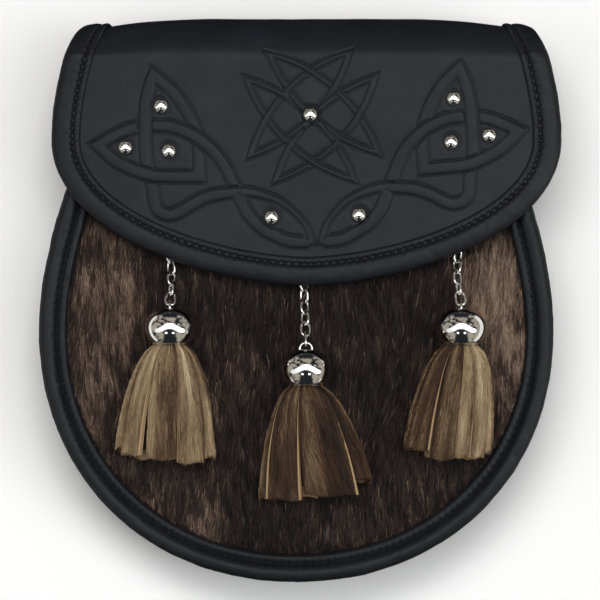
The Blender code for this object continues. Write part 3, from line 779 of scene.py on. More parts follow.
def multiply(finish, base, by, factor=1.0):
    """The base colour times another or a value, as far as the factor says."""
    inputs = {"Factor": factor, "A": base, "B": by}
    return add_node(finish, "Mix", inputs, data_type="RGBA", blend_type="MULTIPLY").outputs["Result"]


def roughen(finish, shader, height, strength, distance):
    """Fine relief from a height, too small for the mesh."""
    bump = add_node(finish, "Bump", {"Strength": strength, "Distance": distance, "Height": height})
    join_sockets(finish, bump.outputs["Normal"], shader.inputs["Normal"])


LEATHER_GLOSS = 0.165
LEATHER_ROUGHNESS = 0.36
PEBBLES = 1500.0  # to the metre


def leather(name, colour, roughness=LEATHER_ROUGHNESS, grain=0.00010, pressed_shade=None):
    """Black leather: fine pebbled grain and soft mottling. Where it is pressed it takes a darker colour:
    painted shade in the pressed lines and dents, partly the darker burnished leather there.
    """
    finish, shader = new_finish(name, roughness, specular=LEATHER_GLOSS)
    place = place_of(finish)
    mottle = noise(finish, place, per_metre=60.0, detail=5.0)
    tones = [(0.3, shade(colour, 0.82)), (0.55, colour), (0.75, shade(colour, 1.22))]
    base = colour_ramp(finish, mottle, tones)
    # Pressed places darken: painted shade in the grooves and dents, partly burnished leather.
    if pressed_shade:
        press = add_node(finish, "Attribute", attribute_name="press").outputs["Fac"]
        base = mix_in(finish, press, base, shade(colour, pressed_shade))
    join_sockets(finish, base, shader.inputs["Base Color"])
    vary_roughness(finish, shader, noise(finish, place, per_metre=240.0), roughness - 0.05, roughness + 0.06)
    cells = {"Vector": place, "Scale": PEBBLES, "Randomness": 1.0}
    pebble = add_node(finish, "TexVoronoi", cells, feature="SMOOTH_F1").outputs["Distance"]
    pores = noise(finish, place, per_metre=3200.0, detail=3.0)
    height = add_node(finish, "Math", {0: pebble, 1: pores}, operation="ADD").outputs["Value"]
    roughen(finish, shader, height, 0.35, grain)
    return finish


def waxed_thread(name, colour):
    """Twisted waxed thread."""
    finish, shader = new_finish(name, 0.6, specular=0.15)
    place = place_of(finish)
    wax = noise(finish, place, per_metre=900.0)
    base = colour_ramp(finish, wax, [(0.3, shade(colour, 0.6)), (0.7, shade(colour, 1.6))])
    join_sockets(finish, base, shader.inputs["Base Color"])
    strands = {"Vector": place, "Scale": 900.0, "Distortion": 2.0}
    twist = add_node(finish, "TexWave", strands, bands_direction="DIAGONAL").outputs["Fac"]
    roughen(finish, shader, twist, 0.5, 0.0001)
    return finish


def hair(name, stops, edge=None):
    """Hair whose colour follows its own tone, and is darker at its roots. edge colours bare hide."""
    finish, shader = new_finish(name, 0.55, specular=0.15)
    tone = add_node(finish, "Attribute", attribute_name="tone").outputs["Fac"]
    along = add_node(finish, "Attribute", attribute_name="along").outputs["Fac"]
    from_root = {"Value": along, "From Min": 0.0, "From Max": 0.6, "To Min": 0.45, "To Max": 1.0}
    fade = add_node(finish, "MapRange", from_root).outputs["Result"]
    base = multiply(finish, colour_ramp(finish, tone, stops), fade)
    if edge:
        bare = add_node(finish, "Attribute", attribute_name="bare").outputs["Fac"]
        base = mix_in(finish, bare, base, edge)
    join_sockets(finish, base, shader.inputs["Base Color"])
    fine = noise(finish, place_of(finish), per_metre=2600.0, detail=2.0)
    vary_roughness(finish, shader, fine, 0.42, 0.62)
    return finish


def polished_metal(name, colour, roughness):
    """Bright plated metal with faint rubbing marks."""
    finish, shader = new_finish(name, roughness, metallic=1.0)
    place = place_of(finish)
    cloud = noise(finish, place, per_metre=180.0)
    base = colour_ramp(finish, cloud, [(0.3, shade(colour, 0.93)), (0.7, shade(colour, 1.05))])
    join_sockets(finish, base, shader.inputs["Base Color"])
    blur = noise(finish, place, per_metre=700.0)
    vary_roughness(finish, shader, blur, roughness * 0.7, roughness * 1.5)
    roughen(finish, shader, noise(finish, place, per_metre=420.0, detail=2.0), 0.05, 0.0002)
    return finish


def finish_for(name, make):
    """A finish that several pieces share, made once."""
    return bpy.data.materials.get(name) or make(name)


def binding_finish(context):
    colour = context.scene.pouch_leather.binding
    return finish_for("stitched_leather", lambda name: leather(name, colour))


def back_finish(context):
    colour = context.scene.pouch_leather.back
    return finish_for("plain_leather", lambda name: leather(name, colour, 0.50, grain=0.00016))


def thread_finish(context):
    colour = context.scene.pouch_leather.thread
    return finish_for("waxed_thread", lambda name: waxed_thread(name, colour))


def metal_finish(context):
    metal = context.scene.pouch_metal
    return finish_for("polished_metal", lambda name: polished_metal(name, metal.colour, metal.roughness))


def refinish(node, finish):
    """Gives a node of the packed model a finish."""
    node.data.materials.clear()
    node.data.materials.append(finish)


# ---- bindings and threads ------------------------------------------------------------------------


# A binding along its edge, from first to last, and how far apart its rings are.
BindingRun = namedtuple("BindingRun", "node edge binding first last closed spacing")
BINDING_RUNS = [
    BindingRun("front_rim", BODY_EDGE, FRONT_BINDING, 0.0, BODY_EDGE.length, True, 0.7),
    BindingRun("back_rim", BODY_EDGE, BACK_BINDING, -SHOULDER_RUN, SHOULDER_RUN, False, 1.1),
    BindingRun("flap_rim", FLAP_EDGE, FLAP_BINDING, 0.0, FLAP_EDGE.length, False, 0.7),
]
SECTION_STEPS = 3  # steps of the section's curve between two of its given points
ROUNDED_END = 1.3  # how far from an open binding's end its leather starts to turn in
END_TURNS = (12, 30, 50, 72)  # degrees of that turn at which it has further rings
END_FIRM = 1.5  # the turn is eased this far round the section
SWELL = 0.42  # how much higher the leather is between two stitches than at one
SWELL_SUNK = 0.6  # share of that by which the stitches sink in
SWELL_REACH = 1.5  # from the groove
FOLD_SIZES = (5.5, 2.3)  # of the coarse and the fine wrinkles
FIRM = (2.0, 0.6)  # how far from the section's start and end the leather is held firm


def rings_along(run):
    """Places of a binding's rings along its edge."""
    places = np.linspace(run.first, run.last, round((run.last - run.first) / run.spacing) + 1)
    if run.closed:
        return places[:-1]
    near_end = ROUNDED_END * (1 - np.cos(np.radians(END_TURNS)))
    return np.unique(np.concatenate([places, run.first + near_end, run.last - near_end]))


def binding_rings(run, stitch, wrinkle, seed):
    """Rings of a binding: rolled, wrinkled along its length and drawn in at each stitch."""
    binding, runs = run.binding, rings_along(run)
    outer = smooth_through(binding.outer, SECTION_STEPS)
    normal = left_of(outer, False) * binding.outward
    around = run_along(outer)
    free = ramp(around, 0.0, FIRM[0]) * ramp(around[-1] - around, 0.0, FIRM[1])
    puff = 0.5 - 0.5 * np.cos(2 * math.pi * runs / stitch)
    near_groove = np.exp(-(((outer[:, 0] - binding.groove) / SWELL_REACH) ** 2))
    near_groove = near_groove * (np.abs(normal[:, 1]) > 0.1)
    swell = SWELL * (puff[:, None] - SWELL_SUNK) * near_groove
    along, across = runs[:, None], around[None, :]
    folds = drift(along, across, FOLD_SIZES[0], seed) + 0.45 * drift(along, across, FOLD_SIZES[1], seed + 1)
    pinch = 0.5 * drift(along * 2.4, across * 0.5, 3.0, seed + 2)
    offset = (swell + wrinkle * (folds + pinch)) * free
    if not run.closed:
        past = ROUNDED_END - np.minimum(np.minimum(runs - runs[0], runs[-1] - runs), ROUNDED_END)
        turned_in = ROUNDED_END - np.sqrt(ROUNDED_END**2 - past**2)
        eased = ramp(around, 0.0, END_FIRM) * ramp(around[-1] - around, 0.0, END_FIRM)
        offset = offset - turned_in[:, None] * eased
    u = outer[None, :, 0] + normal[None, :, 0] * offset
    h = outer[None, :, 1] + normal[None, :, 1] * offset
    slot = np.asarray(binding.slot)
    u = np.hstack([u, np.broadcast_to(slot[:, 0], (len(runs), len(slot)))])
    h = np.hstack([h, np.broadcast_to(slot[:, 1], (len(runs), len(slot)))])
    if run.edge is BODY_EDGE:
        h = np.maximum(h, 0.0)  # nothing goes below what the pouch lies on
    return on_edge(run.edge, along, u, h)


THREAD_SHARES = (0.0, 0.12, 0.3, 0.5, 0.7, 0.88, 1.0)  # where along a stitch its rings lie
THREAD_LIFT = 0.22  # of a thread's middle over the groove


def stitch_rings(edge, first, last, stitch, size, inset, height, outward):
    """Rings of the stitches along an edge, each a short thread that dips into its holes."""
    count = int((last - first) / stitch)
    starts = first + stitch * np.arange(count)
    share = np.array(THREAD_SHARES)
    run = starts[:, None] + stitch * (0.13 + 0.74 * share)[None, :]
    lift = outward * size * (0.62 * np.sin(math.pi * share) - 0.42)
    thick = size / 2 * (0.55 + 0.45 * np.sin(math.pi * np.clip(share * 1.2 - 0.1, 0, 1)))
    across, up = circle(6)
    u = inset + thick[None, :, None] * across
    h = height + lift[None, :, None] + thick[None, :, None] * up * 0.8
    return on_edge(edge, run[:, :, None], u, h)


def groove_height(binding):
    """Height of a binding's groove, which lies between its roll and its lip."""
    outer = smooth_through(binding.outer, 8)
    return outer[np.argmin(np.abs(outer[:, 0] - binding.groove)), 1]


class POUCH_OT_bindings(bpy.types.Operator):
    """Rolled leather bindings of the front, the back and the flap, with their stitching"""

    bl_idname = "pouch.bindings"
    bl_label = "Make bindings"
    bl_options = {"REGISTER", "UNDO"}

    def execute(self, context):
        settings = context.scene.pouch_leather
        stitch, wrinkle = settings.stitch / MM, settings.wrinkle / MM
        size = settings.thread_size / MM
        threads = []
        for seed, run in enumerate(BINDING_RUNS, 1):
            node, length = run.node, run.last - run.first
            pitch = length / round(length / stitch) if run.closed else stitch
            shape = swept(binding_rings(run, pitch, wrinkle, 10 * seed), run.closed)
            piece = add_piece(f"{node}_leather", *shape, binding_finish(context), "binding_leather")
            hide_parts(node)
            threads.append((f"{node}_thread", many_tubes(self.stitches(run, pitch, size))))
        for name, shape in threads:
            add_piece(name, *shape, thread_finish(context), "binding_leather")
        return {"FINISHED"}

    def stitches(self, run, pitch, size):
        """The thread in a binding's groove. It stops short of an open binding's ends."""
        margin = 0.0 if run.closed else 3.0
        last = run.last - margin + 0.01  # so that the last stitch of a full round counts
        binding = run.binding
        height = groove_height(binding) + binding.outward * THREAD_LIFT
        place = (run.edge, run.first + margin, last)
        return stitch_rings(*place, pitch, size, binding.groove, height, binding.outward)


# ---- side wall, back and strap loops -------------------------------------------------------------


class POUCH_OT_side_wall(bpy.types.Operator):
    """Soft side wall between the back and the front"""

    bl_idname = "pouch.side_wall"
    bl_label = "Make side wall"
    bl_options = {"REGISTER", "UNDO"}

    def execute(self, context):
        end = SHOULDER_RUN + GUSSET_PAST_SHOULDER
        spacing = 1.6
        runs = np.linspace(-end, end, round(2 * end / spacing) + 1)
        section = smooth_through(GUSSET_SECTION, 5)
        free = np.sin(math.pi * np.linspace(0, 1, len(section)))
        ripple = drift(runs[:, None], section[None, :, 1] * 0.35, 9.0, 51) * 0.8
        ripple = (ripple + 0.3 * drift(runs[:, None], section[None, :, 1], 3.5, 52)) * free
        outer = on_edge(BODY_EDGE, runs[:, None], section[:, 0] + ripple, section[:, 1])
        inset = section[::-1, 0] + GUSSET_THICKNESS + ripple[:, ::-1]
        inner = on_edge(BODY_EDGE, runs[:, None], inset, section[::-1, 1])
        rings = np.concatenate([outer, inner], axis=1)
        piece = add_piece("gusset_leather", *swept(rings), binding_finish(context), "binding_leather")
        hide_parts("gusset")
        return {"FINISHED"}


PLATE_MIDDLE = (BODY_X, -8.0)
PLATE_POINTS = 360  # round each of a plate's rings


def plate(middle_shares, top_height, under_height):
    """A plate as wide as the pouch, from rings round its edge to its middle, on both sides."""
    runs = np.linspace(0, BODY_EDGE.length, PLATE_POINTS + 1)[:-1]
    middle = np.array(PLATE_MIDDLE)
    top, under = [], []
    edge = on_edge(BODY_EDGE, runs, PLATE_INSET, 0.0)[:, :2]
    for share in middle_shares:
        flat = edge * (1 - share) + middle * share
        top.append(np.column_stack([flat, top_height(flat[:, 0], flat[:, 1])]))
        under.append(np.column_stack([flat, under_height(flat[:, 0], flat[:, 1])]))
    return np.array(top[::-1] + under)


class POUCH_OT_back(bpy.types.Operator):
    """Leather back with its two loops for a belt strap"""

    bl_idname = "pouch.back"
    bl_label = "Make back"
    bl_options = {"REGISTER", "UNDO"}

    def execute(self, context):
        finish = back_finish(context)

        def wave(x, y):
            return 0.10 * drift(x, y, 17.0, 61) + 0.04 * drift(x, y, 6.0, 62)

        rings = plate(
            np.linspace(0, 0.97, 14), lambda x, y: BACK_FACE + LEATHER + wave(x, y) * 0.8,
            lambda x, y: BACK_FACE + wave(x, y),
        )
        panel = add_piece("back_panel_leather", *swept(rings), finish, "back_leather")
        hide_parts("back_panel")
        for side in ("left", "right"):
            node = f"strap_loop_{side}"
            low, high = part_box(node)
            middle_x = (low.x + high.x) / 2 / MM
            shape = joined([self.strip(middle_x), self.sewing(middle_x, context)])
            loop = add_piece(f"{node}_leather", *shape, finish, "back_leather")
            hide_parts(node)
        return {"FINISHED"}

    def strip(self, middle_x):
        """The bent strip of a loop: its sides are burnished round and its feet lie on the back."""
        top = BACK_FACE - GAP
        half = LOOP_THICKNESS / 2
        low, high = LOOP_LOW_Y, LOOP_LOW_Y + LOOP_LENGTH
        foot = [
            (0.0, top - half), (LOOP_FOOT - 1.6, top - half), (LOOP_FOOT + 0.2, half + 1.6),
            (LOOP_FOOT + 1.8, half),
        ]
        path = [(low + y, z) for y, z in foot] + [(high - y, z) for y, z in reversed(foot)]
        line = evenly(smooth_through(path, 8), 0.9)
        line[:, 1] = np.clip(line[:, 1], half, top - half)
        normal = left_of(line, False)
        angle = 2 * math.pi * (np.arange(20) + 0.5) / 20
        across = LOOP_HALF_WIDTH * signed_power(np.cos(angle), 0.25)
        through = half * signed_power(np.sin(angle), 0.5)
        y = line[:, None, 0] + normal[:, None, 0] * through
        z = np.clip(line[:, None, 1] + normal[:, None, 1] * through, 0.0, None)
        return swept(np.stack(np.broadcast_arrays(middle_x + across, y, z), axis=-1))

    def sewing(self, middle_x, context):
        """Two rows of stitches over each foot."""
        size = context.scene.pouch_leather.thread_size / MM
        pitch, length = 2.4, 1.9  # of a stitch
        from_end = np.array([1.1, 2.9])  # the rows, from the loop's ends
        rows = np.concatenate([LOOP_LOW_Y + from_end, LOOP_LOW_Y + LOOP_LENGTH - from_end[::-1]])
        share = np.linspace(0, 1, 5)[:, None]
        across, up = circle(6)
        arch = np.sin(math.pi * share)
        thick = size / 2 * (0.6 + 0.4 * arch)
        z = BACK_FACE - GAP - LOOP_THICKNESS - (0.5 * arch - 0.2) * size + thick * up
        tubes = []
        for y in rows:
            for start in np.arange(1.0 - LOOP_HALF_WIDTH, LOOP_HALF_WIDTH - pitch, pitch):
                x = middle_x + start + length * share + 0 * across
                tubes.append(np.stack([x, y + thick * across, z], axis=-1))
        return many_tubes(np.array(tubes))


# ---- the flap ------------------------------------------------------------------------------------


def turned_knot(point):
    """A point of the left knot as it comes on the right: mirrored, turned and drawn smaller."""
    x, y = LEFT_KNOT_MIDDLE[0] - point[0], point[1] - LEFT_KNOT_MIDDLE[1]
    c, s = math.cos(RIGHT_KNOT_TURN), math.sin(RIGHT_KNOT_TURN)
    return (
        RIGHT_KNOT_MIDDLE[0] + RIGHT_KNOT_SCALE * (x * c - y * s),
        RIGHT_KNOT_MIDDLE[1] + RIGHT_KNOT_SCALE * (x * s + y * c),
    )


def pointed_loop(start, end, bulge):
    """Two arcs from tip to tip, as two rows of points."""
    start, end = np.array(start), np.array(end)
    along = (end - start) / np.linalg.norm(end - start)
    side = np.array([-along[1], along[0]])
    half = np.linalg.norm(end - start) / 2
    radius = (half**2 + bulge**2) / (2 * bulge)
    spread = math.asin(half / radius)
    angle = np.linspace(-spread, spread, 25)[:, None]
    middle = (start + end) / 2
    out = radius * np.cos(angle) - radius + bulge
    arcs = []
    for turn in (1, -1):
        arc = middle + along * radius * np.sin(angle) + side * turn * out
        arcs.append(arc[::turn])
    return arcs


class Strand:
    """A closed band on the flat flap: its middle line with its half width, its corners and its passes."""

    def __init__(self, rows, half_width, narrow=1.0):
        lines = [evenly(np.asarray(row) - (FLAP_X, FLAP_TIP_Y), FLAP_STEP) for row in rows]
        self.line = chain_curves(*lines)[:-1]
        widen = narrow + (1 - narrow) * ramp(run_along(self.line), *LEAF_WIDENS)
        self.line = np.column_stack([self.line, half_width * widen])
        self.corners = np.cumsum([0] + [len(line) - 1 for line in lines[:-1]])
        self.visits = []


Visit = namedtuple("Visit", "place number which")  # a strand's pass of one side of a crossing


def find_crossings(strands):
    """Where the strands cross: places of the two passes, as strand and index along it."""
    starts = np.vstack([strand.line[:, :2] for strand in strands])
    ends = np.vstack([np.roll(strand.line[:, :2], -1, axis=0) for strand in strands])
    owner = np.concatenate([np.full(len(strand.line), k) for k, strand in enumerate(strands)])
    index = np.concatenate([np.arange(len(strand.line)) for strand in strands])
    step = ends - starts
    gap = starts[None] - starts[:, None]
    cross = step[:, None, 0] * step[None, :, 1] - step[:, None, 1] * step[None, :, 0]
    with np.errstate(divide="ignore", invalid="ignore"):
        a = (gap[..., 0] * step[None, :, 1] - gap[..., 1] * step[None, :, 0]) / cross
        b = (gap[..., 0] * step[:, None, 1] - gap[..., 1] * step[:, None, 0]) / cross
    found = np.argwhere((a >= 0) & (a < 1) & (b >= 0) & (b < 1))
    crossings = []
    for i, j in found:
        sizes = len(strands[owner[i]].line)
        apart = abs(int(index[i]) - int(index[j]))
        near = owner[i] == owner[j] and min(apart, sizes - apart) < 4  # steps that follow each other
        if i < j and not near:
            crossings.append(((owner[i], index[i] + a[i, j]), (owner[j], index[j] + b[i, j])))
    return crossings


def weave(strands, first_over):
    """Marks each pass of each crossing over or under, so that every strand goes over and under in turn."""
    crossings = find_crossings(strands)
    passes = {}
    for number, pair in enumerate(crossings):
        for which, (owner, place) in enumerate(pair):
            strands[owner].visits.append(Visit(place, number, which))
    for strand in strands:
        strand.visits.sort()
    waiting = [(number, 0, first_over) for number in range(len(crossings))]
    while waiting:
        number, which, over = waiting.pop()
        if (number, which) in passes:
            continue
        passes[number, which] = over
        passes[number, 1 - which] = not over
        for side, state in ((which, over), (1 - which, not over)):
            visits = strands[crossings[number][side][0]].visits
            at = [(n, w) for _, n, w in visits].index((number, side))
            for neighbour in (visits[at - 1], visits[(at + 1) % len(visits)]):
                waiting.append((neighbour.number, neighbour.which, not state))
    return crossings, passes


CORNER_REACH = 9.0  # how far from a band's corner its distance is measured squarely


def band_distance(line, corners, x, y):
    """Distance to an open line, its half width there and the place along it. At corners the distance is
    measured squarely, for pointed bands."""
    distance, half, place = distance_to_path(x, y, line, square_ends=True)
    for corner in corners:
        tip = line[corner, :2]
        arrive = unit(tip - line[corner - 1, :2])
        leave = unit(line[corner + 1, :2] - tip)
        px, py = x - tip[0], y - tip[1]
        wedge = (px * arrive[0] + py * arrive[1] > 0) & (px * leave[0] + py * leave[1] < 0)
        square = np.maximum(
            np.abs(arrive[0] * py - arrive[1] * px), np.abs(leave[0] * py - leave[1] * px)
        )
        distance = np.where(wedge & (np.hypot(px, py) < CORNER_REACH), square, distance)
    return distance, half, place


def band_relief(distance, half_width, depth):
    """Height of a band: pressed lines along its sides, full between them, eased down outside."""
    line = -depth * np.exp(-(((distance - half_width) / LINE_WIDTH) ** 2))
    full = BAND_FULLNESS * half_width * np.clip(1 - (distance / half_width) ** 2, 0, 1)
    eased = -0.14 * depth * np.exp(-np.maximum(0, distance - half_width) / 1.2) * (distance > half_width)
    return line + full + eased


def knot_relief(x, s, depth):
    """Height of the pressed knotwork over the flat flap."""
    right = [[turned_knot(point) for point in row] for row in LEFT_KNOT]
    groups = [
        [Strand([smooth_through(row, 6) for row in rows], SIDE_BAND, LEAF_NARROW)]
        for rows in (LEFT_KNOT, right)
    ]
    groups.append([Strand(pointed_loop(*tips, MIDDLE_KNOT_BULGE), MIDDLE_BAND) for tips in MIDDLE_KNOT])
    relief = np.zeros(x.shape)
    for strands, first_over in zip(groups, KNOTS_START_OVER):
        crossings, passes = weave(strands, first_over)
        for strand in strands:
            under = [visit for visit in strand.visits if not passes[visit.number, visit.which]]
            count = len(strand.line)
            for start, end in zip(under, under[1:] + under[:1]):
                first, last = math.floor(start.place), math.ceil(end.place)
                if last <= first:
                    last += count
                line = strand.line[np.arange(first, last + 1) % count]
                corners = [
                    (c - first) % count for c in strand.corners if 0 < (c - first) % count < last - first
                ]
                relief += masked_band(line, corners, (start, end), strands, crossings, x, s, depth)
    return relief


def masked_band(line, corners, ends, strands, crossings, x, s, depth):
    """Relief of one stretch of a band, cut off where its ends go under the bands that cross it."""
    margin = 5.0
    low, high = line[:, :2].min(0) - margin, line[:, :2].max(0) + margin
    near = (x > low[0]) & (x < high[0]) & (s > low[1]) & (s < high[1])
    px, ps = x[near], s[near]
    line = np.column_stack([line, np.arange(len(line))])
    distance, half, place = band_distance(line, corners, px, ps)
    height = band_relief(distance, half, depth)
    for end, visit in zip((0, len(line) - 1), ends):
        owner, crossing = crossings[visit.number][1 - visit.which]
        over = strands[owner]
        window = np.arange(math.floor(crossing) - UNDER_REACH, math.floor(crossing) + UNDER_REACH + 2)
        past_edge = np.subtract(*distance_to_path(px, ps, over.line[window % len(over.line)]))
        hidden = 1 - ramp(past_edge, 0.05, 0.5)
        height = height * (1 - hidden * (np.abs(place - end) < UNDER_REACH))
    whole = np.zeros(x.shape)
    whole[near] = height
    return whole


def rounded_corner(side, end, cut, count):
    """A rounded corner of the flap's leaf, between a side and an end."""
    leave, arrive = (side, end - cut / 3), (side - cut / 3, end)
    return bezier((side, end - cut), leave, arrive, (side - cut, end), count)


class Sheet:
    """The flap's sheet as a lattice of fine points, of which only pressed places use all."""

    CELL = 1.3  # about the size of a cell
    FINE = 4  # steps of fine points along a cell's side

    def __init__(self):
        inner = FLAP_EDGE.points + FLAP_EDGE.inward * FLAP_EDGE_INSET
        right = inner[len(inner) // 2 :]
        split = np.argmax(right[:, 0])
        self.lower, upper = right[: split + 1], right[split:]
        last = upper[-1]
        leaf, end = BACK_LEAF_HALF_WIDTH, BACK_LEAF_S + BACK_LEAF_LENGTH
        over = bezier(last, (last[0] - 2, last[1] + 9), (leaf + 4, BACK_LEAF_S - 6), (leaf, BACK_LEAF_S), 40)
        self.upper = np.vstack([upper, over[1:], rounded_corner(leaf, end, BACK_LEAF_CORNER, 12)])
        self.columns = round(2 * right[split, 0] / self.CELL)
        self.low_rows = round(right[split, 1] / self.CELL)
        self.rows = self.low_rows + round((end - right[split, 1]) / self.CELL)

    def places(self):
        """x and s of every fine point: columns up to the widest place, and rows above it."""
        across = np.linspace(-1, 1, self.columns * self.FINE + 1)
        up = np.arange(self.rows * self.FINE + 1) / self.FINE
        widest, level = self.lower[-1]
        tip_x = across * widest
        bottom = np.interp(np.abs(tip_x), self.lower[:, 0], self.lower[:, 1])
        share = np.clip(up / self.low_rows, 0, 1)[:, None]
        s_low = bottom + (level - bottom) * share
        rise = np.clip((up - self.low_rows) / (self.rows - self.low_rows), 0, 1)
        s_high = level + (self.upper[-1, 1] - level) * rise
        half = np.interp(s_high, self.upper[:, 1], self.upper[:, 0])
        upper_rows = (up > self.low_rows)[:, None]
        x = np.where(upper_rows, across * half[:, None], np.broadcast_to(tip_x, (len(up), len(across))))
        s = np.where(upper_rows, s_high[:, None], s_low)
        return x, s

    def cells_with(self, marked):
        """Cells that hold a marked fine point, also on their edges."""
        step, cells = self.FINE, np.zeros((self.rows, self.columns), bool)
        for i in range(step + 1):
            for j in range(step + 1):
                cells |= marked[i : i + self.rows * step : step, j : j + self.columns * step : step]
        return cells

    def faces(self, fine_cells):
        """Faces of the lattice, fine inside the marked cells. Cells beside those take up their points."""
        width = self.columns * self.FINE + 1
        step = self.FINE
        used = np.zeros((self.rows * step + 1, width), bool)
        used[::step, ::step] = True
        r, c = np.nonzero(fine_cells)
        for i in range(step + 1):
            for j in range(step + 1):
                used[r * step + i, c * step + j] = True
        quads = []
        for i in range(step):
            for j in range(step):
                a = (r * step + i) * width + c * step + j
                quads.append(np.column_stack([a, a + 1, a + width + 1, a + width]))
        by_size = {4: [np.vstack(quads)]}
        edge = np.arange(step)
        for row, column in zip(*np.nonzero(~fine_cells)):
            y, x = row * step, column * step
            round_cell = (
                [(y, x + k) for k in edge] + [(y + k, x + step) for k in edge]
                + [(y + step, x + step - k) for k in edge] + [(y + step - k, x) for k in edge]
            )
            polygon = [i * width + j for i, j in round_cell if used[i, j]]
            by_size.setdefault(len(polygon), []).append([polygon])
        return {size: np.vstack(blocks) for size, blocks in by_size.items()}, used.ravel()


SheetSide = namedtuple("SheetSide", "points faces used")  # its top or its underside, as a lattice

STUD_DENT, STUD_DENT_REACH = 0.28, 3.5
STUD_RING, STUD_RING_AT, STUD_RING_WIDTH = 0.10, 4.4, 0.8
STUD_NEAR = 4.6  # how far round a rivet the sheet has its fine points
STRONG_RELIEF = 0.16  # share of the pressed depth from which it has them too
LEAF_SEAM = 3.2  # in from the edge of the leaf on the back


def dent(away):
    """How far the leather is pressed down, at a distance from a rivet's middle. It swells in a ring."""
    pressed = STUD_DENT * np.exp(-((away / STUD_DENT_REACH) ** 4))
    return pressed - STUD_RING * np.exp(-(((away - STUD_RING_AT) / STUD_RING_WIDTH) ** 2))


class POUCH_OT_flap(bpy.types.Operator):
    """Leather flap, folded over the top, with knotwork pressed into its front"""

    bl_idname = "pouch.flap"
    bl_label = "Make flap"
    bl_options = {"REGISTER", "UNDO"}

    def execute(self, context):
        settings = context.scene.pouch_leather
        depth = settings.press / MM
        sheet = Sheet()
        x, s = sheet.places()
        relief = knot_relief(x, s, depth)
        stud_near = np.zeros(x.shape, bool)
        for stud in STUDS:
            away = np.hypot(x - stud.x + FLAP_X, s - stud.y + FLAP_TIP_Y)
            relief -= dent(away)
            stud_near |= away < STUD_NEAR
        # press marks the pressed lines and the dents round the rivets, where the leather is darkened as
        # painted shade.
        press = np.clip(-1.1 * relief / depth, 0, 1) ** 1.3
        fine = sheet.cells_with((np.abs(relief) > STRONG_RELIEF * depth) | stud_near)
        soft = 0.16 * drift(x, s, 21.0, 71) + 0.05 * drift(x, s, 7.0, 72)
        over_fold = 0.10 * drift(x * 0.25, s, 3.2, 73) * ramp(s, FOLD_S - 4, FOLD_S + 6)
        top = flap_place(x, s, LEATHER / 2 + relief + soft + over_fold).reshape(-1, 3)
        under = flap_place(x, s, -LEATHER / 2 + soft).reshape(-1, 3)
        top = SheetSide(top, *sheet.faces(fine))
        under = SheetSide(under, *sheet.faces(np.zeros_like(fine)))
        self.add_sheet(context, sheet, top, under, press)
        self.sew_leaf(context)
        return {"FINISHED"}

    def sew_leaf(self, context):
        """The stitches that hold the flap's leaf to the back."""
        settings = context.scene.pouch_leather
        side, low = BACK_LEAF_HALF_WIDTH - LEAF_SEAM, BACK_LEAF_S + BACK_LEAF_LENGTH - LEAF_SEAM
        corner = rounded_corner(side, low, BACK_LEAF_CORNER - LEAF_SEAM, 10)
        half = np.vstack([[(side, BACK_LEAF_S + 3.0)], corner])
        path = evenly(np.vstack([half, half[::-1] * (-1, 1)]), FLAP_STEP)
        edge = make_edge(path, False, flap_place)
        stitch, size = settings.stitch / MM, settings.thread_size / MM
        rings = stitch_rings(edge, 1.0, edge.length - 1.0, stitch, size, 0.0, LEATHER / 2 + 0.1, 1)
        add_piece("flap_leaf_thread", *many_tubes(rings), thread_finish(context), "binding_leather")

    def add_sheet(self, context, sheet, top, under, press):
        """Joins the top, the underside and the wall round them as one closed piece."""
        top_index = np.cumsum(top.used) - 1
        under_index = np.cumsum(under.used) - 1 + top.used.sum()
        points = np.vstack([top.points[top.used], under.points[under.used]])
        faces = [top_index[block] for block in top.faces.values()]
        faces += [under_index[block] for block in under.faces.values()]
        step, width = sheet.FINE, sheet.columns * sheet.FINE + 1
        last_row, last_column = sheet.rows * step, sheet.columns * step
        border = [(0, j) for j in range(0, last_column, step)]
        border += [(i, last_column) for i in range(0, last_row, step)]
        border += [(last_row, j) for j in range(last_column, 0, -step)]
        border += [(i, 0) for i in range(last_row, 0, -step)]
        flat = np.array([i * width + j for i, j in border])
        a, b = flat, np.roll(flat, -1)
        faces.append(np.column_stack([top_index[a], top_index[b], under_index[b], under_index[a]]))
        pressed = np.concatenate([press.ravel()[top.used], np.zeros(under.used.sum())])
        # The pressed places take a darker colour: painted shade, partly burnished leather.
        finish = leather("pressed_leather", context.scene.pouch_leather.flap, pressed_shade=0.55)
        piece = add_piece("flap_leather", points, faces, finish, "flap_leather", {"press": pressed})
        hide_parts("flap")


# ---- the fur front -------------------------------------------------------------------------------


HAIR_POINTS = 5


def hair_cards(root, middle, tip, side, width):
    """Points and faces of flat tapered hairs, each of two steps."""
    out = side * (width / 2)[:, None]
    points = [root - out, root + out, middle - out * 0.9, middle + out * 0.9, tip]
    first = np.arange(len(root))[:, None] * HAIR_POINTS
    faces = [first + np.array([0, 1, 3, 2]), first + np.array([2, 3, 4])]
    return np.stack(points, axis=1).reshape(-1, 3), faces


def rolled_side(root, tip, roll):
    """The way that each hair is wide: level, and rolled about the hair by an angle."""
    along = unit(tip - root)
    level = unit(np.cross(along, (0.0, 0.0, 1.0)))
    up = np.cross(level, along)
    return level * np.cos(roll)[:, None] + up * np.sin(roll)[:, None]


FUR_LOW, FUR_HIGH = (-92.5, -100.0), (90.0, 82.5)  # corners of the box in which roots are drawn
ROOT_INSET = 10.0  # the hairs grow this far in from the pouch's edge
TIP_INSET = 9.85  # a hair that ends farther out is made shorter
SHORTER = 0.55  # to this share, up to SHORTENINGS times
SHORTENINGS = 4
HIDE_DEPTH = 1.1  # of the hide under the fur's top
ROOT_DEPTH = 1.3  # of the hairs' roots under it
UNDER_FLAP = 0.10  # share of the hairs that grow where the flap hides them


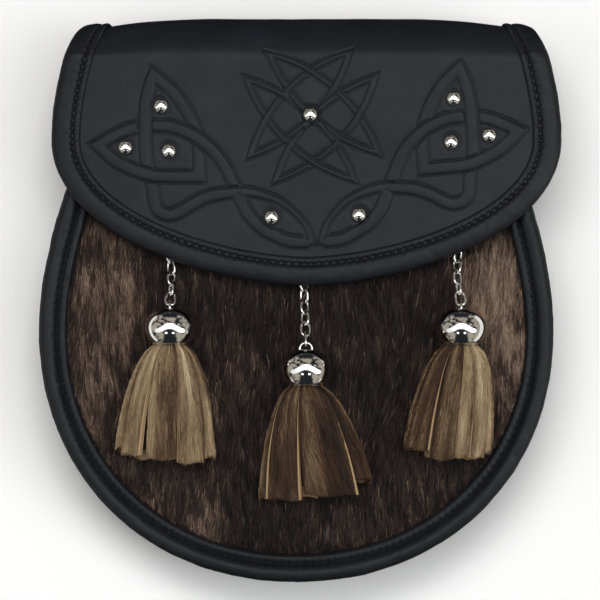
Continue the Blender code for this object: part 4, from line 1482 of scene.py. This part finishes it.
class POUCH_OT_fur(bpy.types.Operator):
    """Fur front: its hide, and the pile laid down over it"""

    bl_idname = "pouch.fur"
    bl_label = "Make fur"
    bl_options = {"REGISTER", "UNDO"}

    def execute(self, context):
        settings = context.scene.pouch_fur
        finish = hair("fur_hair", [(0.0, settings.dark), (0.42, settings.middle), (1.0, settings.light)])

        def hide_top(x, y):
            under_binding = edge_distance(x, y) < FUR_INSET
            return np.where(under_binding, FRONT_EDGE + LEATHER, fur_top(x, y) - HIDE_DEPTH)

        shares = np.concatenate([[0.0, 0.08], np.linspace(0.13, 0.97, 12)])
        rings = plate(shares, hide_top, lambda x, y: FRONT_EDGE + 0 * x)
        points, faces = swept(rings)
        tones = 0.10 + 0.05 * drift(points[:, 0], points[:, 1], 3.0, 81)
        looks = {"tone": tones, "along": np.full(len(points), 0.2)}
        hide = add_piece("fur_hide", points, faces, finish, "fur", looks)
        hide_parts("front_panel")
        for number in (1, 2):
            self.pile(f"fur_pile_{number}", settings, finish, 82 + number)
        return {"FINISHED"}

    def roots(self, rng, count):
        """Places of the hairs: even over the open front, and few far under the flap."""
        kept = []
        total = 0
        lower = Sheet().lower
        while total < count:
            x, y = (rng.uniform(low, high, count) for low, high in zip(FUR_LOW, FUR_HIGH))
            flap_line = FLAP_TIP_Y + np.interp(np.abs(x - FLAP_X), lower[:, 0], lower[:, 1])
            open_front = (y < flap_line + 10) | (np.abs(x - FLAP_X) > lower[-1, 0] - 6)
            keep = (edge_distance(x, y) > ROOT_INSET) & (open_front | (rng.random(count) < UNDER_FLAP))
            kept.append(np.column_stack([x[keep], y[keep]]))
            total += keep.sum()
        return np.vstack(kept)[:count]

    def pile(self, name, settings, finish, seed):
        """A layer of hairs, laid down towards the pouch's bottom in clumps."""
        rng = np.random.default_rng(seed)
        count = settings.strands
        x, y = self.roots(rng, count).T
        lean = 0.20 * drift(x, y, 22.0, 91) + 0.20 * drift(x, y * 0.5, 2.2, 92) + rng.normal(0, 0.10, count)
        length = settings.length / MM * rng.uniform(0.6, 1.25, count)
        for _ in range(SHORTENINGS):
            past = edge_distance(x + length * np.sin(lean), y - length * np.cos(lean)) < TIP_INSET
            length = np.where(past, length * SHORTER, length)
        clump = 0.55 * drift(x * 2.0, y * 0.4, 1.6, 93)
        mid_x, mid_y = x + 0.45 * length * np.sin(lean) + 0.3 * clump, y - 0.45 * length * np.cos(lean)
        tip_x, tip_y = x + length * np.sin(lean) + clump, y - length * np.cos(lean)
        tuft = 0.30 * drift(x * 1.6, y * 0.3, 1.6, 94) + 0.15 * drift(x, y, 9.0, 95)
        stand = rng.normal(0, 0.16, count)
        root = np.column_stack([x, y, fur_top(x, y) - ROOT_DEPTH])
        middle = np.column_stack([mid_x, mid_y, fur_top(mid_x, mid_y) - 0.15 + 0.6 * tuft + 0.5 * stand])
        tip = np.column_stack([tip_x, tip_y, fur_top(tip_x, tip_y) - 0.20 + tuft + stand])
        side = rolled_side(root, tip, rng.normal(0, 0.5, count))
        width = settings.width / MM * rng.uniform(0.7, 1.3, count)
        points, faces = hair_cards(root, middle, tip, side, width)
        tone = np.repeat(self.tones(rng, x, y), HAIR_POINTS)
        looks = {"tone": tone, "along": np.tile([0, 0, 0.6, 0.6, 1.0], count)}
        add_piece(name, points, faces, finish, "fur", looks, closed=False, sharp=None)

    def tones(self, rng, x, y):
        """How light each hair is: in long streaks, with the fur's lighter places and single pale hairs."""
        streaks = 0.22 * drift(x * 1.7, y * 0.26, 1.2, 96)
        tone = 0.18 + streaks + 0.17 * drift(x * 0.8 + 0.2 * y, y * 0.20, 1.5, 98)
        tone += 0.07 * drift(x, y, 11.0, 97)
        for patch in FUR_PATCHES:
            away = ((x - patch.x) / patch.wide) ** 2 + ((y - patch.y) / patch.high) ** 2
            tone += patch.lighter * np.exp(-away)
        return np.clip(tone + rng.normal(0, 0.13, len(x)) * (1 + (rng.random(len(x)) > 0.88)), 0, 1)


# ---- rivets, snap, chains and caps ---------------------------------------------------------------


class POUCH_OT_rivets(bpy.types.Operator):
    """Domed rivets of the flap, and the fastener under it"""

    bl_idname = "pouch.rivets"
    bl_label = "Make rivets"
    bl_options = {"REGISTER", "UNDO"}

    def execute(self, context):
        finish = metal_finish(context)
        turn = np.radians(np.linspace(0, 90, 11))[:-1]
        radius = STUD_RADIUS * np.cos(turn) ** 0.9
        height = LEATHER / 2 + GAP + STUD_HEIGHT * np.sin(turn)
        radius = np.concatenate([[STUD_RADIUS * 0.9, STUD_RADIUS], radius, [0.05]])
        height = np.concatenate([[0.7, 0.85], height, [LEATHER / 2 + GAP + STUD_HEIGHT]])
        across, up = circle(32)
        for number, stud in enumerate(STUDS, 1):
            x = stud.x - FLAP_X + radius[:, None] * across
            s = stud.y - FLAP_TIP_Y + radius[:, None] * up
            rings = flap_place(x, s, height[:, None])
            piece = add_piece(f"rivet_{number}", *swept(rings), finish, "chrome")
            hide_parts(f"stud_{number}")
        snap = frame["nodes"]["flap_snap"]
        refinish(snap, finish)
        rounded = snap.modifiers.new("rounded", "BEVEL")
        rounded.width = 0.4 * MM
        rounded.segments = 3
        rounded.limit_method = "ANGLE"
        return {"FINISHED"}


def superellipse(reach, half_width, power, count):
    """Points round an oval. A power over 2 makes its sides straighter."""
    angle = 2 * math.pi * (np.arange(count) + 0.5) / count
    x, y = (signed_power(wave, 2 / power) for wave in (np.cos(angle), np.sin(angle)))
    return np.column_stack([reach * x, half_width * y])


class POUCH_OT_chains(bpy.types.Operator):
    """Oval wire links of the three chains, with the wire eyes that they hang from"""

    bl_idname = "pouch.chains"
    bl_label = "Make chains"
    bl_options = {"REGISTER", "UNDO"}

    def execute(self, context):
        finish = metal_finish(context)
        reach, half_width = (LINK_LENGTH - LINK_WIRE) / 2, (LINK_WIDTH - LINK_WIRE) / 2
        flat = superellipse(reach, half_width, LINK_SQUARENESS, 44)
        flat = evenly(np.vstack([flat, flat[:1]]), 0.4)[:-1]
        for tassel in TASSELS:
            for number in range(1, tassel.links + 1):
                node = f"chain_{tassel.name}_link_{number}"
                corners = np.array([v.co for v in frame["nodes"][node].data.vertices]) / MM
                corners = np.unique(np.round(corners, 4), axis=0)
                middle = corners.mean(0)
                axes = np.linalg.svd(corners - middle, full_matrices=False)[2]
                path = middle + flat[:, :1] * axes[0] + flat[:, 1:] * axes[1]
                rings = round_wire(path, axes[2], LINK_WIRE / 2, 12)
                piece = add_piece(node + "_wire", *swept(rings, True), finish, "chrome")
                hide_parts(node)
            refinish(frame["nodes"][f"chain_staple_{tassel.name}"], finish)
        return {"FINISHED"}


def cap_axis_height(tassel):
    """Height of the middle line of a cap, from its node."""
    low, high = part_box(f"tassel_cap_{tassel.name}")
    return (low.z + high.z) / 2 / MM


def cap_radius(below):
    """Outer radius of a cap at a distance below its top."""
    bulge = np.where(below < CAP_WIDEST, CAP_TOP_BULGE, CAP_BOTTOM_BULGE)
    return CAP_RADIUS * np.sqrt(1 - ((below - CAP_WIDEST) / bulge) ** 2)


class POUCH_OT_caps(bpy.types.Operator):
    """Hollow bright caps of the tassels, each with its eye"""

    bl_idname = "pouch.caps"
    bl_label = "Make caps"
    bl_options = {"REGISTER", "UNDO"}

    def execute(self, context):
        finish = metal_finish(context)
        for tassel in TASSELS:
            middle = np.array([tassel.cap_x, tassel.cap_top, cap_axis_height(tassel)])
            shape = joined([self.dome(middle), self.eye(middle, tassel)])
            piece = add_piece(f"tassel_cap_{tassel.name}_metal", *shape, finish, "chrome")
            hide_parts(f"tassel_cap_{tassel.name}")
        return {"FINISHED"}

    def dome(self, middle):
        """The turned wall: flat top, full side, rolled mouth and the inside."""
        shoulder, lip = 0.12, 0.4  # the side starts this far below the top, and the mouth's roll is so high
        below = np.concatenate([np.linspace(shoulder, 5.5, 16), np.linspace(6.0, CAP_LENGTH - lip, 18)])
        outside = np.column_stack([cap_radius(below), -below])
        turn = np.radians(np.linspace(10, 170, 6))
        mouth = cap_radius(CAP_LENGTH) - CAP_WALL / 2 + CAP_WALL / 2 * np.cos(turn)
        roll = np.column_stack([mouth, -(CAP_LENGTH - lip + lip * np.sin(turn))])
        inner_below = np.linspace(CAP_LENGTH - 0.6, 1.6, 12)
        inside = np.column_stack([cap_radius(inner_below) - CAP_WALL, -inner_below])
        crown = [(0.05, 0.0), (1.6, 0.0), (3.0, 0.0), (cap_radius(shoulder) - 0.35, -0.02)]
        floor = [(2.2, -1.0), (0.05, -CAP_WALL)]
        return swept(turned(middle, np.vstack([crown, outside, roll, inside, floor]), 64))

    def eye(self, middle, tassel):
        """The round wire eye on a cap's top, which suits the chain's last link."""
        across, up = (EYE_RING_RADIUS * wave for wave in circle(40))
        up = up - EYE_RING_RADIUS + EYE_TOP
        nothing = np.zeros(40)
        path = middle + np.column_stack([nothing, up, across] if tassel.stands else [across, up, nothing])
        sideways = np.array([1.0, 0, 0]) if tassel.stands else np.array([0, 0, 1.0])
        return swept(round_wire(path, sideways, EYE_WIRE / 2, 12), True)


# ---- the tassels' skirts -------------------------------------------------------------------------


SKIRT_CURVE = smooth_through([(s.share, s.swell, s.parting) for s in SKIRT_SECTIONS], 8)


def skirt_place(tassel, share, angle, inset, hem):
    """Points of a skirt: down it by a share, about its middle line, in from its outer form."""
    axis_z = cap_axis_height(tassel)
    mouth_y = tassel.cap_top - CAP_LENGTH
    run = np.maximum(0.0, share)
    swell = np.interp(share, SKIRT_CURVE[:, 0], SKIRT_CURVE[:, 1])
    tail_x = (tassel.tail_left + tassel.tail_right) / 2
    tail_z = float(fur_top(tail_x, tassel.tail_y)) + GAP + SKIRT_TAIL_HALF_HEIGHT
    spread = (tassel.tail_right - tassel.tail_left) / 2
    wide = HEAD_RADIUS + (spread - HEAD_RADIUS) * run + swell
    high = HEAD_RADIUS + (SKIRT_TAIL_HALF_HEIGHT - HEAD_RADIUS) * run + swell / 2
    x = tassel.cap_x + (tail_x - tassel.cap_x) * run + wide * inset * np.cos(angle)
    y = mouth_y - run * (mouth_y - hem) - np.minimum(0.0, share) * CAP_LENGTH
    z = axis_z + (tail_z - axis_z) * run + high * inset * np.sin(angle)
    return np.stack(np.broadcast_arrays(x, y, z), axis=-1)


class Strip:
    """One strip of hide: where it lies round the skirt, and how it twists and ends."""

    def __init__(self, tassel, row, rng):
        self.tassel = tassel
        self.middle = math.radians((row.start + row.end) / 2)
        self.spread = math.radians(row.end - row.start)
        self.deep, self.tone, self.pale = row.deep, row.tone, row.pale
        self.twist = rng.uniform(-0.05, 0.05)
        across = math.cos(self.middle)
        self.hem = tassel.tail_y + HEM_FAN * across**2 - tassel.slant * across / 2
        self.hem += rng.uniform(-0.6, 0.6)

    def lay(self, share, across, lift):
        """Points down and across the strip (-0.5 to 0.5), raised by a lift."""
        parting = np.interp(share, SKIRT_CURVE[:, 0], SKIRT_CURVE[:, 2])
        angle = self.middle + across * self.spread * (1 - parting * STRIP_GAP)
        inset = 1 - parting * self.deep / STRIP_DEPTH + parting * self.twist * across * 2
        inset = inset + 0.05 * parting * (1 - 4 * across**2) + lift / STRIP_DEPTH
        hem = self.hem + 0.5 * np.sin(7 * across + 3 * self.middle)
        return skirt_place(self.tassel, share, angle, inset, hem)


class POUCH_OT_skirts(bpy.types.Operator):
    """Hair skirts of the tassels: strips of hide with pale cut edges, and their hair"""

    bl_idname = "pouch.skirts"
    bl_label = "Make skirts"
    bl_options = {"REGISTER", "UNDO"}

    def execute(self, context):
        settings = context.scene.pouch_tassels
        stops = [(0.0, settings.dark), (0.3, settings.brown), (0.62, settings.tan), (1.0, settings.blond)]
        finish = hair("tassel_hair", stops, edge=settings.cut_edge)
        for tassel in TASSELS:
            self.skirt(tassel, settings, finish)
        return {"FINISHED"}

    def skirt(self, tassel, settings, finish):
        """One tassel's strips, its core and its hair as one piece."""
        rng = np.random.default_rng(tassel.seed)
        shown = SHOWN_STRIPS[tassel.name]
        around = np.linspace(shown[-1].end, shown[0].start + 360, UNDER_STRIPS + 1)
        under = [HideStrip(*ends, 0.4, 0.35, False) for ends in zip(around, around[1:])]
        strips = [Strip(tassel, row, rng) for row in shown + under]
        parts, looks = [], {"tone": [], "along": [], "bare": []}

        def keep(shape, **values):
            parts.append(shape)
            for key, value in values.items():
                looks[key].append(np.broadcast_to(value, len(shape[0])))

        for strip in strips:
            shape, bares = self.hide(strip)
            keep(shape, tone=strip.tone - 0.12, along=0.5, bare=bares)
            if strip.pale:
                keep(self.cut_edge(strip), tone=0.5, along=1.0, bare=0.8)
        keep(self.core(tassel), tone=0.08, along=0.4, bare=0.0)
        shape, tones = self.strands(tassel, strips, settings, rng)
        alongs = np.tile([0.15, 0.15, 0.7, 0.7, 1.0], len(tones))
        keep(shape, tone=np.repeat(tones, HAIR_POINTS), along=alongs, bare=0.0)
        looks = {key: np.concatenate(values) for key, values in looks.items()}
        piece = add_piece(
            f"tassel_hair_{tassel.name}", *joined(parts), finish, "hair_hide", looks, closed=False, sharp=60.0
        )
        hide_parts(f"tassel_skirt_{tassel.name}")

    def hide(self, strip):
        """A thin curved strip from inside the cap to the hem, its ends and sides bare."""
        share = np.linspace(-0.25, 1.0, 30)[:, None]
        across = np.linspace(-0.5, 0.5, 9)
        outer = strip.lay(share, across, 0.0)
        inner = strip.lay(share, across[::-1], -0.9)
        rings = np.concatenate([outer, inner], axis=1)
        bares = np.zeros(rings.shape[:2])
        bares[:, len(across) :] = 0.5
        points, faces = swept(rings)
        faces[0] = faces[0][:, ::-1]
        return (points, faces), bares.ravel()

    def cut_edge(self, strip):
        """The pale cut edge of a strip, standing a little proud of its hair."""
        share = np.linspace(0.04, 1.0, 26)
        path = strip.lay(share, -0.5, 0.30)
        radius = 0.44 * ramp(share, 0.05, 0.95) + 0.05
        along = unit(np.gradient(path, axis=0))
        level = unit(np.cross(along, (0.0, 0.0, 1.0)))
        return swept(round_wire(path, level, radius[:, None, None], 6, closed=False))

    def core(self, tassel):
        """The dark inner strips, as one bundle inside the others."""
        share = np.linspace(-0.2, 0.94, 16)[:, None]
        angle = 2 * math.pi * np.arange(36) / 36
        fold = 0.62 + 0.06 * np.cos(9 * angle) * ramp(share, 0.2, 0.9)
        points, faces = swept(skirt_place(tassel, share, angle, fold, tassel.tail_y + 1.5))
        faces[0] = faces[0][:, ::-1]
        return points, faces

    def strands(self, tassel, strips, settings, rng):
        """Hair lying down the strips, cut off at the hem."""
        count = settings.strands
        shown = [1.0 if math.sin(strip.middle) > -0.1 else 0.45 for strip in strips]
        facing = np.array([strip.spread * part for strip, part in zip(strips, shown)])
        number = rng.choice(len(strips), count, p=facing / facing.sum())
        across = rng.uniform(-0.48, 0.48, count)
        share = rng.uniform(-0.10, 0.97, count)
        total = tassel.cap_top - CAP_LENGTH - tassel.tail_y
        length = settings.length / MM * rng.uniform(0.6, 1.2, count) / total
        end = np.minimum(share + length, 1.0 + rng.normal(0.004, 0.008, count))
        lift = 0.15 + 0.14 * rng.random(count) + 0.22 * rng.random(count) ** 4
        tone = np.zeros(count)
        middles = [strip.middle for strip in strips]
        tones = [strip.tone for strip in strips]
        root, middle, tip = (np.zeros((count, 3)) for _ in range(3))
        for n, strip in enumerate(strips):
            mine = number == n
            down, out = share[mine], across[mine]
            grain = drift(out * strip.spread * 9, down * 3, 1.0, tassel.seed + n)
            raised = lift[mine] + 0.16 * grain
            lean = rng.normal(tassel.hair_lean, 0.05, mine.sum()) * (end[mine] - down) / strip.spread * 2.2
            end_out = np.clip(out - lean, -0.5, 0.5)
            root[mine] = strip.lay(down, out, -0.2)
            middle[mine] = strip.lay((down + end[mine]) / 2, (out + end_out) / 2, raised + 0.12)
            tip[mine] = strip.lay(end[mine], end_out, raised)
            streak = drift(out * strip.spread * 6, down * 1.3, 1.0, tassel.seed + 40 + n)
            around = np.interp(strip.middle + out * strip.spread, middles, tones, period=2 * math.pi)
            blended = 0.4 * strip.tone + 0.6 * around
            # The hair darkens towards each strip's sides: painted shade in the gaps between the strips.
            tone[mine] = blended + 0.11 * grain + 0.22 * streak - 0.20 * (2 * out) ** 4
        tone += rng.normal(0, 0.075, count)
        width = settings.width / MM * rng.uniform(0.7, 1.3, count)
        side = rolled_side(root, tip, rng.normal(0, 0.45, count))
        return hair_cards(root, middle, tip, side, width), np.clip(tone, 0, 1)


# ---- the stage -----------------------------------------------------------------------------------


class POUCH_OT_stage(bpy.types.Operator):
    """Pale floor, soft studio light and the camera over the pouch"""

    bl_idname = "pouch.stage"
    bl_label = "Make stage"
    bl_options = {"REGISTER", "UNDO"}

    VIEW_LEVEL = 36.0 * MM  # the picture's width is measured at this height
    FLOOR_REACH = 12.0  # metres from its middle to its edge
    LAMP_LEAN = 20.0  # degrees from overhead towards the pouch's top
    LAMP_AWAY = 3.0  # metres
    LAMP_X = -0.25
    LAMP_SIZE = (1.6, 0.9)
    # The surroundings. A lean is an angle from overhead towards the pouch's top, and side is how far a
    # direction points to the left or right. Most pairs are where a form's edge starts and where it ends.
    SOFTBOX_LEAN = (-10.0, 29.0)  # degrees
    SOFTBOX_DROOP = 26.0  # degrees by which it bends towards the bottom where side squared is DROOP_AT
    DROOP_AT = 0.5
    SOFTBOX_EDGE = 6.0  # degrees
    SOFTBOX_END = (0.96, 0.86)
    GLOW = 2.1  # its light grows by this factor from the middle to the right
    GLOW_UP = 0.8  # share of that growth towards the pouch's top
    CEILING = (0.05, 0.30), (1.30, 1.05)  # leans in radians
    WALL_SIDE, WALL_FOOT, WALL_CLOUDS = (0.34, 0.50), (-0.25, 0.10), (0.36, 0.52)
    LOW_WALL_SIDE, LOW_WALL_FOOT, LOW_WALL_TOP = (0.55, 0.70), (-0.75, -0.50), (0.0, -0.10)
    LOW_WALL_LIGHT = 2.2  # times that of the walls
    SPOT_SIDE, SPOT_LEAN, SPOT_EDGE = 0.26, -0.52, (0.010, 0.006)

    def execute(self, context):
        settings = context.scene.pouch_stage
        self.floor(context, settings)
        self.lamp(context, settings)
        self.surroundings(context, settings)
        camera = bpy.data.cameras.new("camera")
        distance = settings.camera_height - self.VIEW_LEVEL
        camera.lens = camera.sensor_width * distance / settings.view_width
        camera.clip_start, camera.clip_end = 0.1, 20.0
        eye = bpy.data.objects.new("camera", camera)
        eye.location = (0.0, 0.0, settings.camera_height)
        context.scene.collection.objects.link(eye)
        context.scene.camera = eye
        context.scene.view_settings.view_transform = "Standard"
        return {"FINISHED"}

    def floor(self, context, settings):
        """The pale floor, which bright surfaces don't mirror."""
        size = self.FLOOR_REACH
        mesh = bpy.data.meshes.new("floor")
        corners = [(-size, -size, 0), (size, -size, 0), (size, size, 0), (-size, size, 0)]
        mesh.from_pydata(corners, [], [(0, 1, 2, 3)])
        finish, shader = new_finish("floor", 0.9, specular=0.1)
        cloud = noise(finish, place_of(finish), 3.0)
        base = colour_ramp(finish, cloud, [(0.3, shade(settings.floor, 0.985)), (0.7, settings.floor)])
        join_sockets(finish, base, shader.inputs["Base Color"])
        mesh.materials.append(finish)
        floor = bpy.data.objects.new("floor", mesh)
        context.scene.collection.objects.link(floor)
        floor.visible_glossy = False

    def lamp(self, context, settings):
        """A large lamp by the softbox for matt surfaces and the floor. It casts the soft shadows."""
        light = bpy.data.lights.new("lamp", "AREA")
        light.shape = "RECTANGLE"
        light.size, light.size_y = self.LAMP_SIZE
        light.energy = settings.lamp
        light.color = (1.0, 0.99, 0.975)
        lamp = bpy.data.objects.new("lamp", light)
        lean = math.radians(self.LAMP_LEAN)
        lamp.location = (self.LAMP_X, self.LAMP_AWAY * math.sin(lean), self.LAMP_AWAY * math.cos(lean))
        lamp.rotation_euler = (-lean, 0.0, 0.0)
        lamp.visible_glossy = False
        context.scene.collection.objects.link(lamp)

    def surroundings(self, context, settings):
        """A dim room with one wide softbox leaning over the pouch's top, and cream walls at its sides."""
        world = bpy.data.worlds.new("studio")
        world.use_nodes = True
        background = world.node_tree.nodes["Background"]
        way = add_node(world, "TexCoord").outputs["Generated"]
        x, y, z = add_node(world, "SeparateXYZ", {"Vector": way}).outputs

        def maths(kind, *values):
            return add_node(world, "Math", dict(enumerate(values)), operation=kind).outputs["Value"]

        def times(a, b):
            return maths("MULTIPLY", a, b)

        def between(value, start, full):
            inputs = {"Value": value, "From Min": start, "From Max": full}
            return add_node(world, "MapRange", inputs, interpolation_type="SMOOTHSTEP").outputs["Result"]

        lean = maths("ARCTAN2", y, z)
        side = maths("ABSOLUTE", x)
        low, high = (math.radians(angle) for angle in self.SOFTBOX_LEAN)
        edge = math.radians(self.SOFTBOX_EDGE)
        droop = times(times(side, side), math.radians(self.SOFTBOX_DROOP) / self.DROOP_AT)
        bent = maths("ADD", lean, droop)
        softbox = times(between(bent, low, low + edge), between(bent, high, high - edge))
        softbox = times(softbox, between(side, *self.SOFTBOX_END))
        glow = maths("POWER", self.GLOW, maths("ADD", x, times(y, self.GLOW_UP)))

        ceiling = times(*(between(lean, *edge) for edge in self.CEILING))
        walls = maths("MAXIMUM", between(side, *self.WALL_SIDE), ceiling)
        clouds = between(noise(world, way, 2.8, 1.0), *self.WALL_CLOUDS)
        walls = times(times(walls, between(z, *self.WALL_FOOT)), clouds)
        low_walls = times(between(z, *self.LOW_WALL_FOOT), between(z, *self.LOW_WALL_TOP))
        low_walls = times(between(side, *self.LOW_WALL_SIDE), low_walls)
        spot_x, spot_y = maths("SUBTRACT", side, self.SPOT_SIDE), maths("SUBTRACT", lean, self.SPOT_LEAN)
        spots = between(maths("ADD", times(spot_x, spot_x), times(spot_y, spot_y)), *self.SPOT_EDGE)

        forms = [
            (walls, settings.walls, (1.0, 0.92, 0.77)),
            (low_walls, self.LOW_WALL_LIGHT * settings.walls, (1.0, 0.97, 0.93)),
            (spots, settings.softbox, (1.0, 1.0, 1.0)),
            (softbox, settings.softbox, (0.97, 0.985, 1.0)),
        ]
        light = (*shade((0.80, 0.86, 1.0), settings.fill), 1.0)
        for form, strength, colour in forms:
            light = mix_in(world, form, light, [value * strength for value in colour])
        light = multiply(world, light, glow, softbox)
        seen = add_node(world, "LightPath").outputs["Is Camera Ray"]
        shown = mix_in(world, seen, light, (0.9, 0.9, 0.9))
        join_sockets(world, shown, background.inputs["Color"])
        context.scene.world = world


# ---- the panel and the run -----------------------------------------------------------------------

OPERATORS = [
    POUCH_OT_stage,
    POUCH_OT_bindings,
    POUCH_OT_side_wall,
    POUCH_OT_back,
    POUCH_OT_flap,
    POUCH_OT_fur,
    POUCH_OT_rivets,
    POUCH_OT_chains,
    POUCH_OT_caps,
    POUCH_OT_skirts,
]


class POUCH_PT_pieces(bpy.types.Panel):
    """Lists the pouch's pieces and their settings"""

    bl_idname = "POUCH_PT_pieces"
    bl_label = "Sporran pouch"
    bl_space_type = "VIEW_3D"
    bl_region_type = "UI"
    bl_category = "Pouch"

    def draw(self, context):
        for name, group in SETTINGS.items():
            box = self.layout.box()
            box.label(text=group.__doc__)
            for key in group.__annotations__:
                box.prop(getattr(context.scene, name), key)
        for operator in OPERATORS:
            self.layout.operator(operator.bl_idname)


CLASSES = [*SETTINGS.values(), *OPERATORS, POUCH_PT_pieces]


def register():
    for made in CLASSES:
        bpy.utils.register_class(made)
    for name, group in SETTINGS.items():
        setattr(bpy.types.Scene, name, PointerProperty(type=group))


def unregister():
    for name in SETTINGS:
        delattr(bpy.types.Scene, name)
    for made in reversed(CLASSES):
        bpy.utils.unregister_class(made)


def main():
    register()
    bpy.ops.pouch.stage()
    bpy.ops.pouch.bindings()
    bpy.ops.pouch.side_wall()
    bpy.ops.pouch.back()
    bpy.ops.pouch.flap()
    bpy.ops.pouch.fur()
    bpy.ops.pouch.rivets()
    bpy.ops.pouch.chains()
    bpy.ops.pouch.caps()
    bpy.ops.pouch.skirts()


if __name__ == "__main__":
    main()
